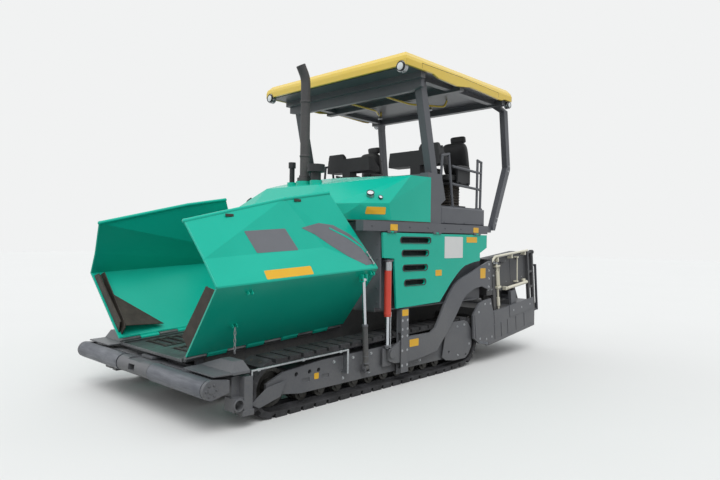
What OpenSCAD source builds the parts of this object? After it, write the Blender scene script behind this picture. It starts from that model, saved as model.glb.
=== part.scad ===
// Asphalt paver on tracks, with hopper, operator stand, roof and screed.
// Millimetres. +X is forward, +Y is left, +Z is up, z = 0 is the ground.
// The hopper wings stand folded in and the screed is lifted, as for transport.

/* [Machine] */
// length over the push rollers and the screed steps
machine_l = 6000; // [5990:5:6010]
// width of roof, folded hopper and basic screed
machine_w = 2550; // [2540:5:2560]
// top of the roof edge
roof_z = 3750; // [3650:10:3900]
// slope of the hopper floor and of the wing hinges, rising to the rear
floor_slope = 3.2; // [3:0.1:3.4]

/* [Tracks] */
// width of a track shoe
shoe_w = 305; // [280:5:320]
// shoes on each track
shoe_n = 46; // [42:1:50]
// height of shoe and pad over the chain's pitch line
shoe_h = 55; // [45:1:60]
// share of the pitch that a pad covers
shoe_fill = 0.8; // [0.6:0.02:0.9]

/* [Hopper] */
// plate thickness of the wings
wing_t = 14; // [10:1:20]
// knuckles on each wing hinge
knuckle_n = 9; // [7:2:11]
// radius of the hinge knuckles
knuckle_r = 24; // [22:1:28]
// radius of the hinge pins
pin_r = 12; // [9:1:14]

/* [Front] */
// radius of the push rollers
roller_r = 85; // [75:1:95]
// height of the push roller axis
roller_z = 390; // [370:5:410]

/* [Screed] */
// how far the screed is lifted at rest
lift_deg = 6.5; // [6:0.1:7]
// radius of the auger flights
auger_r = 165; // [150:5:170]
// turns of each auger flight
auger_turns = 3.5; // [3:0.5:4]
// thickness of the screed arms
arm_t = 30; // [24:1:32]

/* [Body] */
// thickness of the side doors
door_t = 26; // [20:1:32]
// thickness of the body walls
wall_t = 16; // [10:1:20]

/* [Hidden] */
half_w = machine_w / 2;
front_x = machine_l / 2;
rear_x = -machine_l / 2;
gap = 0.3;
run = 0.1;

green = "#12B5A0";
grey = "#50545C";
dark = "#2B2D30";
yellow = "#F2D04B";
steel = "#C8CCD0";
red = "#E5473B";
cream = "#E9E4CF";
pad_black = "#35353A";

// helpers
// a plate through three or four points, t thick
module skin(pts, t) {
  hull()
    for (p = pts)
      translate(p) cube(t, center = true);
}

// a profile in x and z, drawn out from y0 to y1
module side_plate(pts, y0, y1) {
  translate([0, y1, 0])
    rotate([90, 0, 0])
      linear_extrude(y1 - y0)
        polygon(pts);
}

// a box from its low corner to its high corner
module box(lo, hi) {
  translate(lo) cube([hi.x - lo.x, hi.y - lo.y, hi.z - lo.z]);
}

// a round bar between two points
module bar(a, b, r) {
  d = [b.x - a.x, b.y - a.y, b.z - a.z];
  l = norm(d);
  translate(a)
    rotate([0, acos(d.z / l), atan2(d.y, d.x)])
      cylinder(h = l, r = r, $fn = 32);
}

// a cylinder along y from y0 to y1
module y_round(x, z, r, y0, y1) {
  translate([x, y0, z])
    rotate([-90, 0, 0])
      cylinder(h = y1 - y0, r = r, $fn = 64);
}

module both_sides() {
  children();
  mirror([0, 1, 0]) children();
}

module on_side(s) {
  if (s > 0)
    children();
  else
    mirror([0, 1, 0]) children();
}

// tracks
track_out = 1205;
track_in = track_out - shoe_w;
track_mid = (track_out + track_in) / 2;
chain_h = 25;
idler_c = [2205, 270];
idler_pr = idler_c[1] - shoe_h;
sprocket_c = [-915, 340];
sprocket_pr = 310 - shoe_h;
last_c = [-480, 255];
last_pr = last_c[1] - shoe_h;

// circles the chain runs round, in order over the top: x, z, radius
loop_c = [[idler_c[0], idler_c[1], idler_pr],
  [sprocket_c[0], sprocket_c[1], sprocket_pr],
  [last_c[0], last_c[1], last_pr]];
function loop_d(i) = [loop_c[(i + 1) % 3][0] - loop_c[i][0], loop_c[(i + 1) % 3][1] - loop_c[i][1]];
function loop_t(i) = atan2(loop_d(i)[1], loop_d(i)[0])
  - acos((loop_c[i][2] - loop_c[(i + 1) % 3][2]) / norm(loop_d(i)));
function pos_deg(a) = a - 360 * floor(a / 360);
function straight(i) = sqrt(pow(norm(loop_d(i)), 2) - pow(loop_c[i][2] - loop_c[(i + 1) % 3][2], 2));
function arc_deg(i) = pos_deg(loop_t(i) - loop_t((i + 2) % 3));
function arc_len(i) = loop_c[i][2] * arc_deg(i) * PI / 180;
loop_len = arc_len(0) + straight(0) + arc_len(1) + straight(1) + arc_len(2) + straight(2);
pitch = loop_len / shoe_n;

// place on the loop: x, z, angle of the outward normal
function on_arc(i, s) = let (a = loop_t((i + 2) % 3) + s / loop_c[i][2] * 180 / PI)
  [loop_c[i][0] + loop_c[i][2] * cos(a), loop_c[i][1] + loop_c[i][2] * sin(a), a];
function on_line(i, s) = let (a = loop_t(i))
  [loop_c[i][0] + loop_c[i][2] * cos(a) - s * sin(a),
   loop_c[i][1] + loop_c[i][2] * sin(a) + s * cos(a), a];
function on_loop(s, i = 0) = i > 2 ? on_line(2, s)
  : s < arc_len(i) ? on_arc(i, s)
  : s < arc_len(i) + straight(i) ? on_line(i, s - arc_len(i))
  : on_loop(s - arc_len(i) - straight(i), i + 1);
function off(p, t, n) = [p[0] - t * sin(p[2]) + n * cos(p[2]), p[1] + t * cos(p[2]) + n * sin(p[2])];

// a rubber pad that turns under an end wheel is pressed flat on the ground
function grounded(p) = [p[0], max(p[1], 0)];

// corners of one shoe over the chain: share of the half pitch, height
shoe_corners = [[-0.98, 0.2], [-shoe_fill, 0.36], [-shoe_fill, 1], [shoe_fill, 1],
  [shoe_fill, 0.36], [0.98, 0.2]];
function shoe_ring(inner) = [for (i = [0 : shoe_n - 1])
  let (p = on_loop((i + 0.5) * pitch))
  for (c = shoe_corners) grounded(off(p, c[0] * pitch / 2, inner ? 0 : c[1] * shoe_h))];
function chain_ring(h) = [for (i = [0 : shoe_n * 2 - 1])
  off(on_loop((i / 2 + 0.25) * pitch), 0, h)];

module track(s) {
  color(pad_black)
    on_side(s) {
      difference() {
        side_plate(shoe_ring(false), track_in, track_out);
        side_plate(chain_ring(0), track_in - 1, track_out + 1);
      }
      for (y = [track_mid - 65, track_mid + 35])
        difference() {
          side_plate(chain_ring(3), y, y + 30);
          side_plate(chain_ring(-chain_h), y - 1, y + 31);
        }
    }
}
module track_left() { track(1); }
module track_right() { track(-1); }

idler_r = idler_pr - chain_h - 6;
sprocket_r = sprocket_pr - chain_h - 6;
roller_wheel_r = 72;
roller_wheel_z = shoe_h + chain_h + roller_wheel_r + gap;
wheel_x0 = -380;
wheel_step = 245;
wheel_n = 10;

module track_wheels() {
  color(dark)
    both_sides() {
      difference() {
        union() {
          y_round(idler_c[0], idler_c[1], idler_r, track_mid - 70, track_mid + 70);
        }
        y_round(idler_c[0], idler_c[1], idler_r - 35, track_mid + 30, track_mid + 71);
      }
      y_round(idler_c[0], idler_c[1], 80, track_mid + 25, track_mid + 100);
      y_round(sprocket_c[0], sprocket_c[1], sprocket_r, track_mid - 30, track_mid + 30);
      y_round(sprocket_c[0], sprocket_c[1], 205, track_mid + 29, track_out - 30);
      y_round(sprocket_c[0], sprocket_c[1], 120, track_out - 31, track_out - 8);
      for (i = [0 : 17])
        translate([sprocket_c[0], track_mid, sprocket_c[1]])
          rotate([0, i * 20, 0])
            translate([sprocket_r - 6, -14, -16])
              cube([24, 28, 32]);
      for (i = [0 : wheel_n - 1]) {
        y_round(wheel_x0 + i * wheel_step, roller_wheel_z, roller_wheel_r, track_mid - 80, track_mid - 30);
        y_round(wheel_x0 + i * wheel_step, roller_wheel_z, roller_wheel_r, track_mid + 30, track_mid + 80);
        y_round(wheel_x0 + i * wheel_step, roller_wheel_z, 40, track_mid - 100, track_mid + 100);
      }
    }
}

// side plate of the track frame: x, z
frame_side = [[2290, 225], [2290, 320], [2090, 400], [1600, 445], [-560, 490], [-640, 400],
  [-600, 200], [-500, 165], [1880, 165]];
beam_top = [[1980, 250], [1980, 400], [1600, 430], [-600, 470], [-600, 250]];

// cover plate of the sprocket: x, z
cover_pts = [[-416, 195], [-480, 480], [-560, 590], [-642, 617], [-900, 617], [-987, 585],
  [-1075, 480], [-1091, 380], [-1074, 258], [-1010, 170], [-938, 123], [-700, 123], [-500, 150]];
module track_frames() {
  color(grey)
    both_sides() {
      difference() {
        union() {
          side_plate(beam_top, track_in + 30, track_out - 40);
          side_plate(frame_side, track_mid + 100.3, track_out - 22);
          side_plate(frame_side, track_in + 22, track_mid - 100.3);
          side_plate([[2480, 180], [2390, 130], [2150, 190], [2080, 330], [2300, 300]],
            track_out + 2, track_out + 12);
          box([2100, track_out - 23, 230], [2180, track_out + 3, 300]);
        }
        y_round(idler_c[0], idler_c[1], idler_r + 30, track_in - 50, track_mid + 100);
        y_round(sprocket_c[0], sprocket_c[1], sprocket_r + 32, track_in - 1, track_out + 1);
        for (x = [1930, 1760, 1640])
          y_round(x, 355, 22, track_mid, track_out + 1);
        for (x = [1820, 1560])
          box([x - 60, track_out - 30, 265], [x + 40, track_out, 300]);
      }
      // cover over the sprocket, carried by a block on the frame plate
      difference() {
        side_plate(cover_pts, track_out + 3, track_out + 13);
        for (c = [[-560, 250], [-950, 170]])
          y_round(c[0], c[1], 14, track_out, track_out + 20);
      }
      box([-630, track_out - 23, 300], [-570, track_out + 4, 390]);
      box([-700, track_in + 22, 300], [-600, track_mid - 100.3, 400]);
      box([1950, track_in + 22, 240], [2110, track_mid - 100.3, 300]);
    }
}

// chassis
deck_z = 1030;
body_front = 775;
body_rear = -1385;
body_y = 1140;
floor_x = 2805;
floor_z = 528;
floor_y = 610;
floor_l = 1990;
chassis_y = 560;
chassis_t = 28;
tunnel_end = -1180;
chute_l = floor_x - tunnel_end;

// local frame of the hopper floor: origin at its front edge, x forward along the slope
module on_floor() {
  translate([floor_x, 0, floor_z])
    rotate([0, floor_slope, 0])
      children();
}

// height of the floor's under side at x, less a seam
function under_floor(x) = floor_z - 16.5 / cos(floor_slope) + (floor_x - x) * tan(floor_slope) - gap;

// long side plate of the chassis: x, z
chassis_side = [[2560, 300], [2560, under_floor(2560)], [775, under_floor(775)], [775, 1040],
  [-1385, 1040], [-1385, 780], [-1120, 640], [-1120, 240], [-700, 150], [1900, 190]];

module frame() {
  color(grey) {
    both_sides() {
      side_plate(chassis_side, chassis_y, chassis_y + chassis_t);
      // carriers of the track frames
      for (x = [1250, -330])
        box([x, chassis_y + chassis_t - 1, 250], [x + 190, track_in + 22 - gap, 380]);
      // final drive housings
      y_round(sprocket_c[0], sprocket_c[1], 150, chassis_y + chassis_t - 1, track_mid - 30 - gap);
      // floor wings under the side bays
      box([body_rear + 20, chassis_y + chassis_t - 1, 850], [body_front, body_y, 869.7]);
    }
    // engine deck over the tunnel
    box([-1331, -chassis_y - 1, deck_z - 20], [760, chassis_y + 1, deck_z]);
    // belly plate and cross members
    box([-1000, -chassis_y - 1, 250], [2500, chassis_y + 1, 266]);
    for (x = [2380, 1400, 300, -1050])
      box([x, -chassis_y - 1, 255], [x + 90, chassis_y + 1, 430]);
    // rear cross member over the mouth of the tunnel
    box([body_rear, -chassis_y - 1, 960], [-1330, chassis_y + 1, 1040]);
  }
}

module engine_block() {
  color(dark)
    box([-620, -330, deck_z + 0.3], [520, 330, 1700]);
}

// front cross beam, posts, guards and the pivot lugs of the push beam
pivot_x = 2800;
tie_x = 2640;
tie_z = 215;
tie_r = 42;
module front_frame() {
  color(grey) {
    box([2560.3, -1190, 270], [2668, 1190, 450]);
    for (z = [290, 462])
      box([2660, -110, z], [2835, 110, z + 24]);
    box([2660, -110, 290], [2682, 110, 486]);
    translate([pivot_x, 0, 300]) cylinder(h = 170, r = 30, $fn = 48);
    // posts under the hopper floor
    for (p = [[-591, 0], [-200, 12], [170, 12], [561, 0]])
      side_plate([[2570, 449], [2570, under_floor(2570) - p[1]], [2650, under_floor(2650) - p[1]],
        [2650, 449]], p[0], p[0] + 30);
    both_sides() {
      difference() {
        union() {
          box([2500, 1185, 110], [2590, 1268, 450]);
          box([2485, 1175, 110], [2605, 1272, 160]);
          box([2560, 1122.5, 160], [2690, 1257.5, 275]);
        }
        y_round(tie_x, tie_z, tie_r, 1100, 1300);
      }
      // guard over the roller end
      hull() {
        box([2520, 740, 478], [2700, 1255, 500]);
        box([2560, 1000, 560], [2660, 1200, 585]);
      }
      hull() {
        box([2690, 740, 485], [2700, 1255, 499]);
        box([2860, 760, 485], [2880, 1235, 497]);
      }
      box([2590, 1100, 449], [2640, 1180, 479]);
      box([2590, 745, 449], [2640, 800, 479]);
    }
  }
}

module hopper_floor() {
  knuckle_l = floor_l / knuckle_n;
  color(grey) {
    on_floor() {
      box([-chute_l, -chassis_y + 0.3, -28], [-10, chassis_y - 0.3, -16]);
      difference() {
        box([-floor_l, -floor_y, -16.5], [0, floor_y, 0]);
        for (s = [-1, 1])
          box([-floor_l - 1, s * 280 - 230, -8], [-190, s * 280 + 230, 1]);
      }
      both_sides() {
        // knuckles that stay on the floor, and the pin
        for (i = [0 : 2 : knuckle_n - 1])
          translate([-(i + 1) * knuckle_l + 6, 650, 14])
            rotate([0, 90, 0])
              cylinder(h = knuckle_l - 12, r = knuckle_r, $fn = 32);
        for (i = [0 : 2 : knuckle_n - 1])
          box([-(i + 1) * knuckle_l + 6, floor_y - 1, -16], [-i * knuckle_l - 6, 650, -4]);
        translate([-floor_l, 650, 14])
          rotate([0, 90, 0])
            cylinder(h = floor_l, r = pin_r, $fn = 32);
      }
      // apron lip at the front edge
      box([-6, -floor_y, -20], [6, floor_y, 8]);
    }
    // rear wall of the hopper over the tunnel mouth
    box([775.3, -floor_y, 1040.3], [795, floor_y, 1846]);
    both_sides()
      box([775.3, 520, 655], [795, 559.7, 1041]);
  }
}

module conveyor_bars() {
  n = 34;
  step = (chute_l - 260) / n;
  color(dark)
    on_floor() {
      for (s = [-1, 1]) {
        for (c = [-1, 1])
          box([-chute_l + 20, s * 280 + c * 190 - 14, -7.7], [-200, s * 280 + c * 190 + 14, 3]);
        for (i = [0 : n - 1])
          box([-220 - i * step - 26, s * 280 - 215, -3], [-220 - i * step, s * 280 + 215, 8]);
      }
    }
}

// hopper wings
// corners of the left wing: x, y, z
hinge_f = [2800, 678, 572];
hinge_r = [812, 678, 683];
fold_f = [2865, 1255, 1235];
fold_r = [872, 1255, 1346];
crease_f = [2888, 1090, 1462];
crease_m = [1500, 1092, 1560];
top_f = [2945, 860, 1790];
top_m = [1880, 905, 2040];
top_r = [1325, 950, 2135];
lip_r = 20;
// the hinge axis passes through this point
hinge_p = [floor_x, 650, floor_z + 14];
knuckle_l = floor_l / knuckle_n;

module wing(s) {
  color(green)
    on_side(s) {
      difference() {
        union() {
          skin([hinge_f, hinge_r, fold_r, fold_f], wing_t);
          skin([fold_f, fold_r, crease_m, crease_f], wing_t);
          skin([crease_f, crease_m, top_m, top_f], wing_t);
          skin([crease_m, fold_r, top_r, top_m], wing_t);
          // rolled lip along the top, and the folded front edge
          bar(top_f, top_m, lip_r);
          bar(top_m, top_r, lip_r);
          bar(fold_f, crease_f, 12);
          bar(crease_f, top_f, 12);
          for (p = [top_f, top_m, top_r])
            translate(p) sphere(r = lip_r + 2, $fn = 32);
          translate(crease_f) sphere(r = 14, $fn = 24);
          on_floor()
            for (i = [1 : 2 : knuckle_n - 1]) {
              translate([-(i + 1) * knuckle_l + 6, 650, 14])
                rotate([0, 90, 0])
                  cylinder(h = knuckle_l - 12, r = knuckle_r, $fn = 32);
              box([-(i + 1) * knuckle_l + 6, 655, 20], [-i * knuckle_l - 6, 686, 50]);
            }
          // lugs of the wing cylinder
          for (y = [-1, 1])
            side_lug(y);
        }
        on_floor()
          translate([-floor_l - 20, 650, 14])
            rotate([0, 90, 0])
              cylinder(h = floor_l + 40, r = pin_r + gap, $fn = 32);
        at_eye() translate([-60, 0, 0]) rotate([0, 90, 0]) cylinder(h = 120, r = eye_pin + gap, $fn = 48);
      }
    }
}

// the wing cylinder stands in the plane square to the wing's hinge
cyl_x = 1010;
cyl_y = 1241;
cyl_z = 290;
eye_y = 1239;
eye_rise = 936.5;
eye_pin = 14;
module at_base() {
  translate([cyl_x, cyl_y, cyl_z])
    rotate([0, floor_slope, 0])
      children();
}
module at_eye() {
  at_base()
    translate([0, eye_y - cyl_y, eye_rise])
      children();
}
module side_lug(d) {
  at_eye()
    translate([d * 30 - 6, 0, 0])
      rotate([90, 0, 90])
        linear_extrude(12)
          polygon([[-24, -22], [24, -22], [26, 60], [-52, 60], [-30, 10]]);
}
// along the cylinder from the base pin to the eye
module along_cylinder() {
  at_base()
    rotate([atan((cyl_y - eye_y) / eye_rise), 0, 0])
      children();
}

module hopper_wing_left() { wing(1); }
module hopper_wing_right() { wing(-1); }

// dark flap along the front inside edge, and the sheet at its foot
module wing_flap(s) {
  // place in the front plane, along the lower panel and square to it
  fx = 2764;
  h = [hinge_f.y, hinge_f.z + (hinge_f.x - fx) * tan(floor_slope)];
  f = [fold_f.y, fold_f.z + (fold_f.x - fx) * tan(floor_slope)];
  l = norm(f - h);
  d = (f - h) / l;
  function spot(a, b) = [h.x + a * d.x - b * d.y, h.y + a * d.y + b * d.x];
  seat = wing_t / 2 * (d.x + d.y) + gap;
  color(dark)
    on_side(s) {
      translate([fx, 0, 0])
        rotate([90, 0, 90])
          linear_extrude(10)
            polygon([spot(30, seat), spot(l - 40, seat), spot(l - 70, 90), spot(120, 150), spot(40, 120)]);
      hull() {
        translate([fx + 4, spot(520, 80).x, spot(520, 80).y]) cube(6, center = true);
        translate([fx + 4, spot(70, 120).x, spot(70, 120).y]) cube(6, center = true);
        translate([2300, spot(60, 50).x, spot(60, 50).y + 26]) cube(6, center = true);
      }
    }
}
module wing_flap_left() { wing_flap(1); }
module wing_flap_right() { wing_flap(-1); }

module wing_barrel(s) {
  color(grey)
    on_side(s)
      difference() {
        union() {
          along_cylinder() translate([0, 0, 38]) cylinder(h = 422, r = 30, $fn = 48);
          along_cylinder() translate([0, 0, 18]) cylinder(h = 21, r = 20, $fn = 48);
          at_base() translate([-20, 0, 0]) rotate([0, 90, 0]) cylinder(h = 40, r = 28, $fn = 48);
        }
        along_cylinder() translate([0, 0, 42]) cylinder(h = 440, r = 19, $fn = 48);
        at_base() translate([-21, 0, 0]) rotate([0, 90, 0]) cylinder(h = 42, r = eye_pin + gap, $fn = 48);
      }
}
module wing_barrel_left() { wing_barrel(1); }
module wing_barrel_right() { wing_barrel(-1); }

module wing_rod(s) {
  color(steel)
    on_side(s) {
      along_cylinder() translate([0, 0, 452]) cylinder(h = eye_rise - 470, r = 19 - run, $fn = 48);
      difference() {
        at_eye() translate([-20, 0, 0]) rotate([0, 90, 0]) cylinder(h = 40, r = 24, $fn = 48);
        at_eye() translate([-21, 0, 0]) rotate([0, 90, 0]) cylinder(h = 42, r = eye_pin + gap, $fn = 48);
      }
    }
}
module wing_rod_left() { wing_rod(1); }
module wing_rod_right() { wing_rod(-1); }

// push beam
roller_in = 320;
roller_out = 1222;
roller_x = front_x - roller_r;
module push_beam() {
  color(grey)
    difference() {
      union() {
        box([2742, -1225, 345], [2822, 1225, 450]);
        box([2742, -130, 322], [2870, 130, 455]);
        hull() {
          y_round(roller_x, roller_z, 80, -roller_in + 15, roller_in - 15);
          box([2800, -roller_in + 60, 330], [2830, roller_in - 60, 450]);
        }
        hull() {
          box([2848, -150, 300], [2870, 150, 330]);
          box([2850, -190, 330], [2900, 190, 340]);
        }
        both_sides() {
          hull() {
            y_round(roller_x, roller_z, 84, 1230, 1268);
            box([2742, 1230, 345], [2822, 1268, 450]);
          }
        }
      }
      box([2700, -60, 365], [3010, 60, 425]);
      translate([pivot_x, 0, 280]) cylinder(h = 220, r = 30 + gap, $fn = 48);
      box([2741, -130, 455], [2990, 130, 500]);
      for (y = [-1, 1])
        y_round(roller_x, roller_z, 25 + gap, y * 760 - 520, y * 760 + 520);
    }
}

module push_roller(s) {
  color(steel)
    on_side(s) {
      y_round(roller_x, roller_z, roller_r, roller_in, roller_out);
      y_round(roller_x, roller_z, 25, roller_in - 60, roller_out + 38);
    }
}
module push_roller_left() { push_roller(1); }
module push_roller_right() { push_roller(-1); }

// body
module body_shell() {
  color(grey)
    difference() {
      union() {
        difference() {
          box([body_rear, -body_y, 870], [body_front, body_y, 1855]);
          box([body_rear + wall_t, -body_y + wall_t, 869],
            [body_front - wall_t, body_y - wall_t, 1855 - wall_t]);
        }
        both_sides() {
          box([body_rear - 10, body_y - 1, 1745], [1090, door_y, 1855]);
          // lugs and pin of the lift cylinder
          for (y = [lift_y - 54, lift_y + 42])
            side_plate([[body_rear + 1, 1560], [body_rear + 1, 1740], [lift_top[0], 1694],
              [lift_top[0] - 34, 1660], [lift_top[0], 1626]], y, y + 12);
          y_round(lift_top[0], lift_top[1], 18, lift_y - 54, lift_y + 54);
          box([body_front - 20, body_y - 1, 900], [body_front, 1215, 1746]);
          // outer knuckles and pins of the door hinges
          for (x = door_hinges) {
            for (k = [[-50, -0.3], [60.3, 110]]) {
              translate([x + k[0], door_hy, door_hz])
                rotate([0, 90, 0])
                  cylinder(h = k[1] - k[0], r = 9, $fn = 32);
              box([x + k[0], door_y - 10, 1744], [x + k[1], door_hy, 1756]);
            }
            translate([x - 10, door_hy, door_hz]) rotate([0, 90, 0]) cylinder(h = 80, r = 4, $fn = 32);
          }
          // lower skirt behind the arm
          box([-1200, body_y - 1, 870], [600, 1218, 880]);
        }
      }
      box([body_front - wall_t - 1, -chassis_y, 869], [body_front + 1, chassis_y, deck_z]);
      box([body_rear - 1, -chassis_y - chassis_t - gap, 869],
        [body_front + 1, chassis_y + chassis_t + gap, 1041]);
    }
}

// corners of the hood over the engine: x, y, z
hood_pts = [[-95, 1238, 1868], [620, 1238, 1868], [1150, 900, 1868], [1330, 480, 1868],
  [660, 1238, 2050], [960, 1080, 2042], [1165, 890, 2032], [1225, 480, 2050],
  [-95, 1238, 2400], [260, 1225, 2395], [930, 780, 2190], [1020, 470, 2268], [540, 330, 2395],
  [-95, 330, 2440]];
// bosses on the hood for the stacks: x, y, radius
stacks = [[870, 60, 105], [870, -175, 60], [880, 275, 75]];
stack_z = 2345;
module hood() {
  color(green)
    difference() {
      union() {
        hull()
          for (p = hood_pts)
            for (s = [-1, 1])
              translate([p.x, s * p.y, p.z]) cube(12, center = true);
        for (b = stacks)
          translate([b[0], b[1], 2200]) cylinder(h = stack_z - 2200, r = b[2], $fn = 48);
      }
      both_sides()
        for (i = [0 : 4])
          louvre(i, 0, 40);
    }
}
// one louvre slot on the sloping top: from its floor up by h, shrunk by e
module louvre(i, e, h) {
  y = 500 + i * 60;
  x = 1478 - 1.0077 * y;
  z = (2472.4 - 0.235 * x - 0.074 * y) / 0.969 + 7;
  translate([x, y, z])
    rotate([0, 13.6, 0])
      translate([-400 + e, -9 + e, -25 + e])
        cube([400 - 2 * e, 18 - 2 * e, h]);
}

module hood_louvres() {
  color(dark)
    both_sides()
      for (i = [0 : 4])
        louvre(i, gap, 12);
}

module headlamps() {
  color(steel)
    both_sides()
      translate([811, 1090, 2132])
        rotate([0, 41.9, 44.9])
          translate([0, 0, 9.2])
            cylinder(h = 34, r = 42, $fn = 48);
}

module exhaust() {
  color(dark) {
    translate([870, 60, stack_z + gap]) cylinder(h = 45, r = 90, $fn = 48);
    translate([870, 60, stack_z + 40]) cylinder(h = 3620 - stack_z - 40, r = 58, $fn = 48);
    translate([870, 60, 3620]) sphere(r = 58, $fn = 48);
    bar([870, 60, 3620], [960, 60, 3760], 58);
  }
}

module air_precleaner() {
  color(dark) {
    translate([870, -175, stack_z + gap]) cylinder(h = 180, r = 32, $fn = 32);
    translate([870, -175, stack_z + 180]) cylinder(h = 70, r = 45, $fn = 32);
    translate([880, 275, stack_z + gap]) cylinder(h = 100, r = 60, $fn = 48);
    translate([880, 275, stack_z + 100]) cylinder(h = 90, r = 105, $fn = 48);
  }
}

// operator stand
stand_z = 2095;
module platform() {
  color(grey) {
    box([-1500, -1100, 2075], [-101.3, 1100, stand_z]);
    box([-1385, -1080, 1855.3], [-101.3, 1080, 2076]);
    both_sides() {
      side_plate([[-101.3, 1855.3], [-101.3, 2470], [-380, 2470], [-470, 2160],
        [-375, 2100], [-375, 1855.3]], 1079, 1200);
    }
    box([-380, -1080, 2094], [-101.3, 1080, 2460]);
    both_sides()
      box([-1620, 1060, 1770], [body_rear - 10.3, 1170, 1855]);
  }
}

module toolboxes() {
  color(grey)
    both_sides()
      hull() {
        box([-1405, 1080.3, 1856], [-375.3, 1185, 2074]);
        box([-1380, 1080.3, 1870], [-400, 1200, 2060]);
      }
}

module handrails() {
  r = 17;
  color(dark)
    both_sides() {
      // loop beside the driver: foot, front top, rear top, rear foot
      bar([-500, 1080, stand_z + 6], [-560, 1080, 2740], r);
      bar([-560, 1080, 2740], [-700, 1080, 2770], r);
      bar([-700, 1080, 2770], [-800, 1080, stand_z + 6], r);
      bar([-800, 1080, 2620], [-1480, 1080, 2590], r);
      bar([-800, 1080, 2390], [-1480, 1080, 2360], r);
      bar([-1380, 1080, stand_z + 6], [-1395, 1080, 2760], r);
      bar([-1395, 1080, 2760], [-1490, 1080, 2740], r);
      bar([-1490, 1080, 2740], [-1470, 1080, stand_z + 6], r);
      for (x = [-500, -800, -1380, -1470])
        translate([x, 1080, stand_z + gap]) cylinder(h = 8, r = 26, $fn = 32);
      for (p = [[-560, 1080, 2740], [-700, 1080, 2770], [-1395, 1080, 2760],
        [-1490, 1080, 2740], [-800, 1080, 2620], [-800, 1080, 2390]])
        translate(p) sphere(r = r + 2, $fn = 32);
    }
}

seat_y = 790;
module seat_frames() {
  color(dark)
    both_sides() {
      box([-1290, seat_y - 170, stand_z + 0.3], [-920, seat_y + 170, stand_z + 30]);
      box([-1220, seat_y - 110, stand_z + 29], [-980, seat_y + 110, 2400]);
      box([-1300, seat_y - 220, 2399], [-880, seat_y + 220, 2430]);
      for (y = [-245, 215])
        box([-1280, seat_y + y, 2420], [-980, seat_y + y + 30, 2620]);
      side_plate([[-1280, 2429], [-1300, 2429], [-1400, 2900], [-1380, 2900]], seat_y - 120, seat_y + 120);
    }
}

module seat_pads() {
  color("#1E1F22")
    both_sides() {
      hull() {
        box([-1240, seat_y - 200, 2430.3], [-860, seat_y + 200, 2440]);
        box([-1230, seat_y - 190, 2530], [-880, seat_y + 190, 2545]);
        box([-1235, seat_y - 205, 2470], [-845, seat_y + 205, 2500]);
      }
      hull() {
        translate([-1240, seat_y, 2560]) cube([70, 400, 30], center = true);
        translate([-1330, seat_y, 3000]) cube([60, 380, 40], center = true);
        translate([-1250, seat_y, 2720]) cube([90, 410, 60], center = true);
      }
      hull() {
        translate([-1336, seat_y, 3030]) cube([50, 240, 20], center = true);
        translate([-1350, seat_y, 3100]) cube([40, 220, 20], center = true);
      }
    }
}

module consoles() {
  color(dark)
    both_sides() {
      box([-700, 560, stand_z + 0.3], [-560, 720, 2650]);
      hull() {
        box([-780, 180, 2640], [-560, 1040, 2700]);
        box([-640, 200, 2800], [-560, 1020, 2840]);
      }
      hull() {
        box([-620, 700, 2839], [-560, 1015, 2870]);
        box([-600, 730, 2900], [-560, 1000, 2915]);
      }
      bar([-720, 420, 2700], [-740, 420, 2830], 12);
    }
}

// roof
roof_f = 435;
roof_r = -1965;
// lower edge of the roof's sides: x, height under the roof's edge
brim = [[-40, -100], [-192, -142], [-583, -159], [-732, -138], [-900, -112], [-1210, -122],
  [-1600, -139], [-1700, -134], [-1780, -100]];
lamp_y = half_w - 85;
// half width of the deep beam at the front, and of the cross beams
fascia_y = half_w - 75;
beam_y = half_w - 45;
lamp_z = roof_z - 120;
module roof_shell() {
  color(yellow)
    difference() {
      union() {
        hull() {
          box([roof_r + 40, -half_w + 60, roof_z - 20], [roof_f - 60, half_w - 60, roof_z + 55]);
          box([roof_r + 10, -half_w + 15, roof_z - 60], [roof_f - 10, half_w - 15, roof_z]);
          box([roof_r, -half_w, roof_z - 110], [roof_f, half_w, roof_z - 40]);
        }
        both_sides()
          side_plate([for (p = brim) [p[0], roof_z + p[1]]], half_w - 26, half_w);
      }
      both_sides()
        translate([roof_f - 70, lamp_y, lamp_z]) rotate([0, 90, 0]) cylinder(h = 80, r = 65, $fn = 64);
      hull() {
        box([roof_r + 30, -half_w + 30, roof_z - 111], [roof_f - 30, half_w - 30, roof_z - 50]);
        box([roof_r + 60, -half_w + 80, roof_z - 40], [roof_f - 80, half_w - 80, roof_z + 35]);
      }
    }
}

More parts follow.
